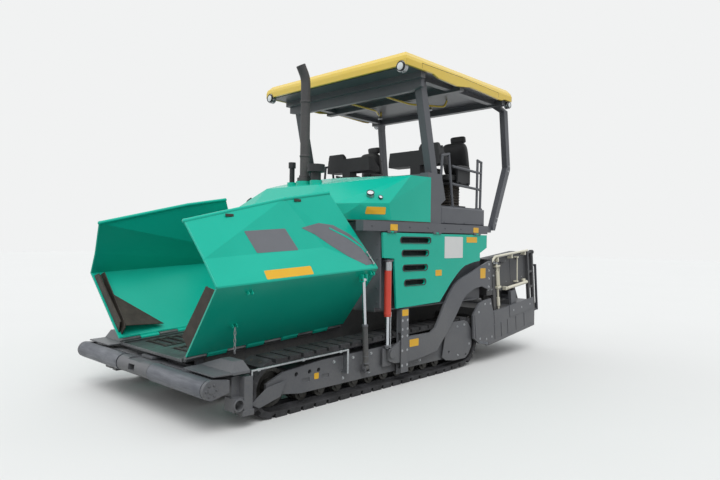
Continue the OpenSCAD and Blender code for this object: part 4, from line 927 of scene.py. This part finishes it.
# %% Front strips of the wings
HINGE_FRONT, FOLD_FRONT = (2.800, 0.678, 0.572), (2.865, 1.255, 1.235)   # the lower panel's front edge
PANEL_FACE = 0.0092    # from the panel's middle to just over its inner face
STRIP_THICK, STRIP_RETURN = 0.008, 0.018
FLAP_FRONT = 2.776     # just in front of the solid flap, in x
FLOOR_SLOPE = 0.0559   # the hinge rises by this much for each metre back
for side, s in SIDES:
    foot = Vector((HINGE_FRONT[0], s * HINGE_FRONT[1], HINGE_FRONT[2]))
    up = (Vector((FOLD_FRONT[0], s * FOLD_FRONT[1], FOLD_FRONT[2])) - foot).normalized()
    inward = Vector((0, -s * up.z, s * up.y)).normalized()

    def strip_spot(rise, width):
        """A place on the strip: up along the panel, then in from its face and slightly forward."""
        return foot + up * rise + inward * width + Vector((0.170 * (width - PANEL_FACE) - 0.010, 0, 0))

    low, high = strip_spot(0.060, PANEL_FACE), strip_spot(0.835, PANEL_FACE)
    low_rim, high_rim = strip_spot(0.100, 0.150), strip_spot(0.770, 0.125)
    behind = Vector((-STRIP_RETURN, 0, 0))
    back = Vector((-1, 0, FLOOR_SLOPE))
    guard = bmesh.new()
    slab(guard, [low, high, high_rim, low_rim], (-STRIP_THICK, 0, 0))
    slab(guard, [low_rim, high_rim, high_rim + behind, low_rim + behind], inward * 0.006)
    web_rim = [p + back * (p.x - FLAP_FRONT) for p in (high, low)]
    slab(guard, [low, high] + web_rim, inward * 0.005)
    finish_piece("wing_front_strip_" + side, guard, flap_rubber, "wing_" + side, edge=0.002)

# strips along the floor's sides, scoured bright by the mix
floor_strips = bmesh.new()
for y in (-0.585, 0.585):
    strip(floor_strips, (2.80, y, 0.5395), (0.86, y, 0.648), (0, 0.030, 0), (0, 0, 0.006))
finish_piece("floor_side_strips", floor_strips, wear_plate, "chassis")
print("strips: one on the front of each wing, two along the floor")

# %% [markdown]
# Cylinders: a rod is guided by a gland nut that stands a little proud of its barrel. Each collar
# is turned about the cylinder's own line, and its bore stays wider than the rod that slides
# through it. The levelling cylinder has a second thin rod beside it, for its position sensor.

# %% Cylinder collars and fittings
def collar(length, radius, foot_bore, nose_bore, nose):
    """Profile of a chamfered ring; nose is how far its far edge is cut back."""
    return [(0, foot_bore), (0, radius - 0.002), (0.002, radius), (length - 0.002, radius),
            (length, radius - nose), (length, nose_bore)]


def upright(shape, x, y, z, profile, steps=36):
    """Adds a turned part that stands upright at a place."""
    turned(shape, (x, y, z), (x, y, z + 0.1), profile, steps)


LEVEL_X, LEVEL_Y = 0.660, 1.232   # the levelling cylinders' line
SENSOR_X, SENSOR_Y = 0.622, 1.246
for side, s in SIDES:
    collars = bmesh.new()
    base, eye = Vector((1.010, s * 1.241, 0.290)), Vector((1.0623, s * 1.239, 1.225))
    way = (eye - base).normalized()
    for at, length, r in ((0.438, 0.024, 0.034), (0.040, 0.018, 0.034), (0.120, 0.010, 0.0315)):
        a = base + way * at
        turned(collars, a, a + way, collar(length, r, 0.0215, 0.0215, 0.003), 36)
    finish_piece("wing_cylinder_gland_" + side, collars, anthracite, "barrel_" + side)
    gland = bmesh.new()
    upright(gland, LEVEL_X, s * LEVEL_Y, 0.800, [(0, 0.0225), (0, 0.036), (0.003, 0.0395), (0.020, 0.0395),
                                                 (0.026, 0.0425), (0.036, 0.0425), (0.037, 0.040)])
    finish_piece("levelling_gland_" + side, gland, signal_red, "chassis")
    cap = bmesh.new()
    upright(cap, LEVEL_X, s * LEVEL_Y, 1.312, [(0, 0.039), (0, 0.0412), (0.004, 0.0425), (0.090, 0.0425),
                                               (0.097, 0.040), (0.0975, 0.0)])
    upright(cap, SENSOR_X, s * SENSOR_Y, 0.452, rod(0.370, 0.007), 16)
    upright(cap, SENSOR_X, s * SENSOR_Y, 0.800, rod(0.050, 0.012), 20)
    finish_piece("levelling_cap_" + side, cap, zinc, "chassis")
    # the foot stays over the arm's end, which rises by 6 mm as the screed comes down
    eye_plate = bmesh.new()
    upright(eye_plate, LEVEL_X, s * LEVEL_Y, 0.453, [(0.0, 0.0), (0.0, 0.026), (0.006, 0.034), (0.026, 0.034),
                                                     (0.034, 0.0225)])
    block(eye_plate, (0.608, s * 1.222, 0.453), (0.660, s * 1.252, 0.471))
    finish_piece("levelling_foot_" + side, eye_plate, anthracite, "chassis", edge=0.002)
    lift = bmesh.new()
    top, foot = Vector((-1.446, s * 1.040, 1.660)), Vector((-1.556, s * 1.040, 0.960))
    way = (foot - top).normalized()
    for at, length, r in ((0.405, 0.026, 0.041), (0.060, 0.016, 0.040)):
        a = top + way * at
        turned(lift, a, a + way, collar(length, r, 0.0355, 0.0225, 0.004), 36)
    finish_piece("lift_gland_" + side, lift, anthracite, "lift_barrels")
print("cylinder collars done")

# %% [markdown]
# The operator's desks slope at 45 degrees towards the seats. A desk carries rows of push buttons
# and rotary knobs, a blank display under a visor, and a joystick in a rubber boot. Buttons are
# turned parts on a grid, so a row is one loop. The boot is a turned bellows.

# %% Desks
SLOPE_OUT = Vector((-1, 0, 1)).normalized()   # square to the desk's face
DESK_LOW, DESK_RISE = (-0.780, 2.700), 0.140   # its low edge, x and z, and how far it runs back and up


def on_desk(t, y, s, lift=0.0):
    """A point on the sloping face: t runs from its low to its high edge."""
    return Vector((DESK_LOW[0] + DESK_RISE * t, s * y, DESK_LOW[1] + DESK_RISE * t)) + SLOPE_OUT * lift


DESK_KNOBS = [("black", black_abs, 0.0105, 0.009), ("red", signal_red, 0.0085, 0.006),
              ("yellow", yellow_vinyl, 0.0085, 0.006)]
DESK_PLATES = [  # name, low and high edge, inner and outer y, lift, thickness, finish, slot, edge radius
    ("desk_panel", 0.10, 0.90, 0.225, 0.735, 0.0, 0.0015, anthracite, "grey_paint", 0.0006),
    ("desk_display", 0.12, 0.92, 0.790, 0.985, 0.0, 0.012, black_abs, "black_plastic", 0.003),
    ("desk_screen_glass", 0.20, 0.84, 0.805, 0.970, 0.0121, 0.0006, screen_glass, "lamp_glass", 0.0),
]


def knob_tone(row, column):
    """Which colour a knob of the grid has."""
    pick = (row * 5 + column * 3) % 7
    if pick == 1:
        return "red" if row == 2 else None
    if pick == 4:
        return "yellow" if row > 0 else None
    return "black"


for side, s in SIDES:
    for tone, finish, radius, tall in DESK_KNOBS:
        knobs = bmesh.new()
        profile = [(-0.001, 0), (-0.001, radius * 1.3), (0.002, radius * 1.3), (0.0025, radius),
                   (tall, radius * 0.9), (tall + 0.001, radius * 0.7), (tall + 0.001, 0)]
        for row in range(4):
            for column in (1, 2, 3, 4, 5, 7, 8, 9, 10):
                if knob_tone(row, column) == tone:
                    base = on_desk(0.20 + 0.19 * row, 0.27 + 0.045 * column, s)
                    turned(knobs, base, base + SLOPE_OUT, profile, 16)
        finish_piece(f"desk_knobs_{tone}_{side}", knobs, finish, "chassis")
    for name, t0, t1, y0, y1, lift, thick, finish, slot, edge in DESK_PLATES:
        plate = bmesh.new()
        corners = [on_desk(t, y, s, lift) for t, y in ((t0, y0), (t1, y0), (t1, y1), (t0, y1))]
        slab(plate, corners, SLOPE_OUT * thick)
        finish_piece(f"{name}_{side}", plate, finish, "chassis", edge=edge)
    visor = bmesh.new()
    slab(visor, [on_desk(0.93, 0.785, s), on_desk(0.93, 0.990, s), on_desk(0.99, 0.990, s, 0.075),
                 on_desk(0.99, 0.785, s, 0.075)], Vector((0.003, 0, 0.003)))
    for y, thick in ((0.785, -0.003), (0.990, 0.003)):
        cheek = [on_desk(0.20, y, s), on_desk(0.95, y, s), on_desk(0.99, y, s, 0.072)]
        slab(visor, cheek, (0, s * thick, 0))
    finish_piece("desk_visor_" + side, visor, black_abs, "chassis", edge=0.001)
    boot = bmesh.new()
    foot, top = Vector((-0.7205, s * 0.420, 2.705)), Vector((-0.740, s * 0.420, 2.830))
    ribs = [(0.0, 0.034)]
    for k in range(5):
        ribs += [(0.004 + 0.010 * k, 0.033 - 0.004 * k), (0.009 + 0.010 * k, 0.027 - 0.004 * k)]
    turned(boot, foot, top, ribs + [(0.056, 0.0125)], 28)
    finish_piece("joystick_boot_" + side, boot, flap_rubber, "chassis")
    grip = bmesh.new()
    turned(grip, top - (top - foot) * 0.35, top,
           [(0, 0.0125), (0.004, 0.016), (0.030, 0.0185), (0.052, 0.0165), (0.066, 0.0205), (0.082, 0.0195),
            (0.090, 0.012), (0.092, 0.0)], 28)
    finish_piece("joystick_grip_" + side, grip, black_abs, "chassis")
    rail = ((-0.785, 0.22), (-0.812, 0.24), (-0.812, 0.98), (-0.785, 1.00))
    swept(f"desk_rail_{side}", [(x, s * y, 2.662) for x, y in rail], 0.008, zinc, "chassis",
          corner=0.02)
print("desks fitted")

# %% [markdown]
# Each seat stands on a suspension that hides in a rubber bellows, and has folding armrests with
# foam pads. The bellows is a rounded square with seven pleats, so rings of one outline are
# bridged, wide and narrow by turns. The levers at the seat's side are small turned parts, and
# two flat belts lie on each cushion.

# %% Seat suspension and armrests
BELLOWS_STEPS = 40


def soft_square(angle):
    """A point on a square with round corners, one unit from its middle to each side."""
    c, d = math.cos(angle), math.sin(angle)
    return math.copysign(abs(c) ** 0.45, c), math.copysign(abs(d) ** 0.45, d)


for side, s in SIDES:
    bellows = bmesh.new()
    outline = [soft_square(a) for a in around(BELLOWS_STEPS)]
    loops = []
    for k in range(15):
        wide = 0.0 if k % 2 else 0.018
        z = 2.128 + 0.0190 * k
        loops.append(ring_edges(bellows, [(-1.100 + x * (0.128 + wide), s * SEAT_Y + y * (0.118 + wide), z)
                                          for x, y in outline]))
    bridge(bellows, loops)
    finish_piece("seat_bellows_" + side, bellows, flap_rubber, "chassis")
    for where, y in (("in", SEAT_Y - 0.230), ("out", SEAT_Y + 0.230)):
        foam_pad(f"armrest_{where}_{side}", (-1.130, s * y, 2.640), (0.290, 0.052, 0.042), 0.0, 0.005)
    levers = bmesh.new()
    for x in (-1.22, -1.02, -0.95):
        start = Vector((x, s * 0.985, 2.415))
        turned(levers, start, start + Vector((0, s, 0.2)),
               [(0, 0.0), (0, 0.005), (0.050, 0.005), (0.052, 0.010), (0.072, 0.009), (0.074, 0.0)], 16)
    finish_piece("seat_levers_" + side, levers, black_abs, "chassis")
    belt = bmesh.new()
    for y, x1 in ((0.600, -1.10), (0.980, -1.12)):
        strip(belt, (-1.235, s * y, 2.548), (x1, s * y, 2.552), (0, 0.040, 0), (0, 0, 0.002))
    finish_piece("seat_belts_" + side, belt, flap_rubber, "chassis")
print("seats fitted")

# %% [markdown]
# Under each side of the roof a yellow grab tube runs back, with a small work lamp below it.
# It is one bent tube, swept along its path, and the lamp is a turned part.

# %% Grab tube
ROOF_TUBE = [(-0.150, 0.320, 3.640), (-0.190, 0.320, 3.560), (-0.839, 0.320, 3.550), (-1.273, 0.600, 3.550),
             (-1.300, 0.620, 3.640)]
for side, s in SIDES:
    swept(f"roof_tube_{side}", [(x, s * y, z) for x, y, z in ROOF_TUBE], 0.014, roof_yellow, "chassis")
    lamp = bmesh.new()
    turned(lamp, (-1.10, s * 0.47, 3.535), (-1.13, s * 0.47, 3.44),
           [(0, 0.0), (0, 0.016), (0.012, 0.018), (0.030, 0.034), (0.052, 0.036), (0.054, 0.033),
            (0.048, 0.0)], 28)
    finish_piece("stand_lamp_" + side, lamp, zinc, "chassis")
print("grab tubes fitted")

# %% [markdown]
# The screed hangs raised at the back. Its end plates slide on a replaceable shoe, its cabinets
# close with lids, and a hand crank sets the height. Labels are blank film again. Fine
# parts are placed on the lowered, level screed and turned about the tow pin with it.

# %% Screed details
LIFT = math.radians(6.5)
TOW_PIN = Vector((0.605, 0.0, 0.380))


def raised(p):
    """A point of the level screed, turned up about the tow pin."""
    x, z = p[0] - TOW_PIN.x, p[2] - TOW_PIN.z
    return Vector((TOW_PIN.x + x * math.cos(LIFT) + z * math.sin(LIFT), p[1],
                   TOW_PIN.z - x * math.sin(LIFT) + z * math.cos(LIFT)))


def on_side(points, y):
    """Points in x and z of the level screed, raised, at a distance from the middle."""
    return [raised((x, y, z)) for x, z in points]


UP_SCREED = raised((0.605, 0, 1.380)) - TOW_PIN
BACK_SCREED = raised((-0.395, 0, 0.380)) - TOW_PIN
END_PLATE_BOLTS = ((-1.20, 0.14), (-1.20, 0.50), (-1.36, 0.10), (-1.36, 0.58), (-1.50, 0.56), (-1.50, 0.10))
TOWER_BOLTS = ((-1.53, 0.98), (-1.62, 0.98), (-1.53, 1.36), (-1.63, 1.36), (-1.53, 1.17), (-1.65, 1.17))
SHOE_SHAPE = ((-1.380, 0.012), (-1.300, 0.046), (-1.178, 0.082), (-1.190, 0.112), (-1.310, 0.078),
              (-1.385, 0.045))
ARM_BOLTS = ((-1.43, 1.03), (-1.43, 1.14), (-1.43, 1.25), (-1.43, 1.335))
SPINDLE = (-1.805, 1.212)
for side, s in SIDES:
    out = (0, s, 0)
    extension = "extension_" + side
    bolt_heads(f"end_plate_bolts_{side}", on_side(END_PLATE_BOLTS, s * 1.27), out, 0.020, zinc, extension,
               "screed_extension_" + side, tall=0.004)
    screws = bmesh.new()
    for seat in on_side([(x, 0.350) for x in (-2.62, -2.36, -2.12)], s * 1.2735):
        turned(screws, seat, seat + Vector(out), [(0, 0), (0, 0.015), (0.0013, 0.014), (0.0014, 0)], 20)
    finish_piece("box_screws_" + side, screws, zinc, extension)
    bolt_heads(f"tower_bolts_{side}", [(x, s * 1.192, z) for x, z in TOWER_BOLTS], out, 0.022, zinc, "screed",
               "screed_towers")
    bolt_heads(f"arm_bolts_{side}", [(x, s * 1.256, z) for x, z in ARM_BOLTS], out, 0.024, zinc, "screed",
               "screed_arms")
    cabinet_bolts = on_side([(x, z) for x in (-1.90, -2.15, -2.62) for z in (0.76, 1.06)], s * 1.150)
    bolt_heads(f"cabinet_bolts_{side}", cabinet_bolts, out, 0.014, zinc, "screed", "screed_base")
    for name, x, z in (("high", -1.985, 0.985), ("low", -2.190, 0.830)):
        h = 0.0375   # half the label's side
        ring = on_side(((x - h, z - h), (x + h, z - h), (x + h, z + h), (x - h, z + h)), s * 1.16)
        film_on(f"screed_label_{name}_{side}", ring, "screed_base", (0, -s, 0), yellow_vinyl, "screed",
                corner=0.008)
    lids = bmesh.new()
    for x0, x1 in ((-2.250, -1.840), (-2.690, -2.280)):
        lid = on_side(((x0, 0.725), (x1, 0.725), (x1, 1.080), (x0, 1.080)), s * 1.1495)
        slab(lids, lid, (0, s * 0.004, 0))
    finish_piece("cabinet_lids_" + side, lids, dark_grey, "screed", edge=0.0015)
    grips = bmesh.new()
    for a in on_side([(x, 1.050) for x in (-2.045, -2.485)], s * 1.154):
        block(grips, a - Vector((0.045, 0, 0.010)), a + Vector((0.045, s * 0.012, 0.010)))
    finish_piece("lid_grips_" + side, grips, black_abs, "screed", edge=0.003)
    threads = bmesh.new()
    foot = raised((SPINDLE[0], s * SPINDLE[1], 0.600))
    ridges = [(0.004 * k, 0.0158 if k % 2 else 0.0142) for k in range(1, 38)]
    turned(threads, foot, foot + UP_SCREED, [(0.0, 0.014)] + ridges + [(0.152, 0.014)], 20)
    finish_piece("spindle_thread_" + side, threads, cream_paint, "screed")
    crank = bmesh.new()
    top = raised((SPINDLE[0], s * SPINDLE[1], 1.0645))
    turned(crank, top, top + UP_SCREED, rod(0.020, 0.018, -0.002), 20)
    hand = top + UP_SCREED * 0.012
    turned(crank, hand, hand - BACK_SCREED * 0.1, rod(0.085, 0.007), 16)
    knob = hand - BACK_SCREED * 0.080
    turned(crank, knob, knob + UP_SCREED,
           [(0, 0), (0, 0.011), (0.040, 0.013), (0.046, 0.009), (0.047, 0)], 20)
    finish_piece("spindle_crank_" + side, crank, zinc, "screed")
    centre = raised((-2.905, s * 1.172, 1.136)) - UP_SCREED * 0.040
    round_lamp("screed_lamp_" + side, centre + BACK_SCREED * 0.031, BACK_SCREED, 0.030, body="screed")
    housing = bmesh.new()
    turned(housing, centre - BACK_SCREED * 0.01, centre + BACK_SCREED * 0.1,
           [(0, 0), (0, 0.020), (0.012, 0.032), (0.040, 0.032), (0.040, 0)], 28)
    finish_piece("screed_lamp_housing_" + side, housing, black_abs, "screed")
    shoe = bmesh.new()
    slab(shoe, on_side(SHOE_SHAPE, s * 1.2678), (0, s * 0.004, 0))
    finish_piece("end_plate_shoe_" + side, shoe, roller_steel, extension, edge=0.001)
print("screed details done")

# %% [markdown]
# The rear of each extension carries a row of small inspection plates over the heating bars.
# Each is plain 4 mm plate with a rounded edge, repeated along the width.

# %% Rear plates of the screed
for side, s in SIDES:
    plates = bmesh.new()
    for k in range(3):
        y = s * (0.250 + 0.370 * k)
        corners = ((-0.150, 0.050), (0.150, 0.050), (0.150, 0.165), (-0.150, 0.165))
        slab(plates, [raised((-2.660, y + a, z)) for a, z in corners], BACK_SCREED * 0.004)
    finish_piece("rear_plates_" + side, plates, anthracite, "extension_" + side, edge=0.0015)
print("rear plates: 3 a side")

# %% [markdown]
# Track pads. Each rubber pad is bolted to its steel shoe by two bolts in round wells, and the
# shoe's ends show past the rubber. The place of each shoe follows the chain's line about the
# idler, the sprocket and the last roller. One pad's fittings are stamped at each place, except
# where a pad presses on the ground.

# %% Track pad bolts
WHEELS = [(2.205, 0.270, 0.215), (-0.915, 0.340, 0.255), (-0.480, 0.255, 0.200)]   # x, z, pitch radius
SHOES, SHOE_TALL = 46, 0.055
GROUND_GAP = 0.03   # a pad lower than this presses on the ground and hides its bolts


def tangent(a, b):
    """Angle of the outward normal of the straight run from wheel a to wheel b."""
    along, rise = b[0] - a[0], b[1] - a[1]
    return math.atan2(rise, along) - math.acos((a[2] - b[2]) / math.hypot(along, rise))


def chain_line():
    """The loop as arcs and straights: (kind, wheel, normal angle, length)."""
    runs, normals = [], [tangent(WHEELS[i], WHEELS[(i + 1) % 3]) for i in range(3)]
    for i in range(3):
        a, b = WHEELS[i], WHEELS[(i + 1) % 3]
        turn_by = (normals[i] - normals[i - 1]) % (2 * math.pi)
        straight = math.sqrt((b[0] - a[0]) ** 2 + (b[1] - a[1]) ** 2 - (a[2] - b[2]) ** 2)
        runs.append(("arc", a, normals[i - 1], a[2] * turn_by))
        runs.append(("straight", a, normals[i], straight))
    return runs


def shoe_places():
    """Place and outward angle of each shoe on the pitch line."""
    runs = chain_line()
    total = sum(r[3] for r in runs)
    places = []
    for k in range(SHOES):
        rest = (k + 0.5) * total / SHOES
        for kind, wheel, normal, length in runs:
            if rest <= length:
                break
            rest -= length
        angle = normal + (rest / wheel[2] if kind == "arc" else 0.0)
        slide = rest if kind == "straight" else 0.0
        places.append((wheel[0] + wheel[2] * math.cos(angle) - slide * math.sin(angle),
                       wheel[1] + wheel[2] * math.sin(angle) + slide * math.cos(angle), angle))
    return places


dressed_pads = 0
for side, s in SIDES:
    wells = bmesh.new()
    ends = bmesh.new()
    for x, z, angle in shoe_places():
        out = Vector((math.cos(angle), 0, math.sin(angle)))
        if z + out.z * SHOE_TALL < GROUND_GAP:
            continue
        dressed_pads += 1
        for y in (0.985, 1.120):
            spot = Vector((x, s * y, z)) + out * (SHOE_TALL + 0.0003)
            bmesh.ops.create_cone(wells, cap_ends=True, segments=12, radius1=0.0165, radius2=0.0155,
                                  depth=0.0012, matrix=facing_matrix(spot, out))
        for y, way in ((0.902, -s), (1.203, s)):
            spot = Vector((x, s * y, z)) + out * (SHOE_TALL * 0.28)
            bmesh.ops.create_cone(ends, cap_ends=True, segments=6, radius1=0.010, radius2=0.009,
                                  depth=0.008, matrix=facing_matrix(spot, (0, way, 0)))
    finish_piece("pad_wells_" + side, wells, flap_rubber, "chassis")
    finish_piece("shoe_end_bolts_" + side, ends, cast_steel, "chassis", smooth=False)
print("track pads dressed:", dressed_pads, "of", len(SIDES) * SHOES)

# %% [markdown]
# Rear of the machine: two service panels on the back wall, each with a vent of pressed louvres,
# two locks and a grip, and a tread plate over the stand. Each panel is 4 mm sheet, and one
# louvre is a tilted strip, repeated up the panel.

# %% Rear wall and stand
REAR_WALL = -1.385
for side, s in SIDES:
    panel = bmesh.new()
    block(panel, (REAR_WALL - 0.003, s * 0.080, 1.120), (REAR_WALL + 0.001, s * 0.960, 1.700))
    finish_piece("rear_panel_" + side, panel, anthracite, "chassis", edge=0.002)
    vents = bmesh.new()
    for k in range(9):
        z = 1.240 + 0.036 * k
        x = REAR_WALL - 0.0065
        strip(vents, (x, s * 0.200, z), (x, s * 0.620, z), (-0.007, 0, -0.016), (0.0012, 0, -0.0006))
    finish_piece("rear_vents_" + side, vents, anthracite, "chassis")
    locks = bmesh.new()
    for z in (1.220, 1.600):
        turned(locks, (REAR_WALL - 0.002, s * 0.900, z), (REAR_WALL - 0.01, s * 0.900, z),
               [(0, 0), (0, 0.016), (0.004, 0.016), (0.006, 0.011), (0.010, 0.011), (0.010, 0)], 24)
    finish_piece("panel_locks_" + side, locks, zinc, "chassis")
    grip_line = ((0.001, 1.340), (0.040, 1.340), (0.040, 1.500), (0.001, 1.500))
    swept("panel_grip_" + side, [(REAR_WALL - out, s * 0.780, z) for out, z in grip_line], 0.007, black_abs,
          "chassis", corner=0.018)
deck = bmesh.new()
block(deck, (-1.490, -1.045, 2.0945), (-0.390, 1.045, 2.0965))
finish_piece("stand_tread_plate", deck, deck_plate, "chassis", edge=0.0006)
print("rear wall and stand dressed")

# %% [markdown]
# The stage is a wide pale floor, and the sky that the camera sees has about the colour of that
# floor in this light. From the photograph's height no horizon shows, and from higher up only a
# faint one. Light is a soft overcast sky, with one broad lamp from above the machine's front
# left and a weak one from its front right.

# %% Stage and light
bpy.context.scene.view_settings.view_transform = "Standard"
PALE = "E3E3E1"
YARD = "8E8C88"   # what the machine's own faces see of the floor, as dull as a paved yard


def pale_stage():
    """Pale paper to the eye, and a dull yard to the machine's own faces."""
    finish, tree, shader = new_finish("pale studio paper")
    paper = blend_colours(tree, noise(tree, own_place(tree), 0.4, 3.0), PALE, "E6E6E4")
    seen = add_node(tree, "ShaderNodeLightPath")
    colour = blend_colours(tree, seen.outputs["Is Diffuse Ray"], paper, YARD)
    tree.links.new(colour, shader.inputs["Base Color"])
    shader.inputs["Roughness"].default_value = 0.9
    return finish


floor_mesh = bmesh.new()
bmesh.ops.create_grid(floor_mesh, x_segments=1, y_segments=1, size=60)
floor_data = bpy.data.meshes.new("studio_floor")
floor_mesh.to_mesh(floor_data)
floor_mesh.free()
floor_data.materials.append(pale_stage())
floor = link(bpy.data.objects.new("studio_floor", floor_data))

world = bpy.data.worlds.new("soft sky")
bpy.context.scene.world = world
world.use_nodes = True
sky = world.node_tree
sky.nodes.clear()
seen = add_node(sky, "ShaderNodeLightPath")
mirror_or_eye = add_node(sky, "ShaderNodeMath", operation="MAXIMUM",
                         wires={0: seen.outputs["Is Camera Ray"], 1: seen.outputs["Is Glossy Ray"]})
any_view = add_node(sky, "ShaderNodeMath", operation="MAXIMUM",
                    wires={0: mirror_or_eye.outputs[0], 1: seen.outputs["Is Transmission Ray"]})
shown = add_node(sky, "ShaderNodeBackground", {"Color": linear("F1F2F2"), "Strength": 1.0})
view_way = add_node(sky, "ShaderNodeTexCoord")
height = add_node(sky, "ShaderNodeSeparateXYZ", wires={0: view_way.outputs["Generated"]})
overcast = remap(sky, height.outputs["Z"], from_min=-0.1, from_max=0.9, to_min=0.30, to_max=1.05)
light = add_node(sky, "ShaderNodeBackground", {"Color": linear("F4F7FA")}, {"Strength": overcast})
mixed = add_node(sky, "ShaderNodeMixShader",
                 wires={0: any_view.outputs[0], 1: light.outputs[0], 2: shown.outputs[0]})
add_node(sky, "ShaderNodeOutputWorld", wires={0: mixed.outputs[0]})


def soft_sun(name, strength, toward, spread):
    """A lamp without a place; spread is its width in degrees, so shadows are soft."""
    lamp = bpy.data.lights.new(name, "SUN")
    lamp.energy = strength
    lamp.angle = math.radians(spread)
    holder = link(bpy.data.objects.new(name, lamp))
    holder.rotation_euler = Vector(toward).to_track_quat("-Z", "Y").to_euler()


soft_sun("key", 1.15, (-0.45, -0.55, -1.0), 35)
soft_sun("fill", 0.3, (-0.6, 0.7, -0.5), 60)
print("stage and light ready")

# %% End
bpy.context.view_layer.update()
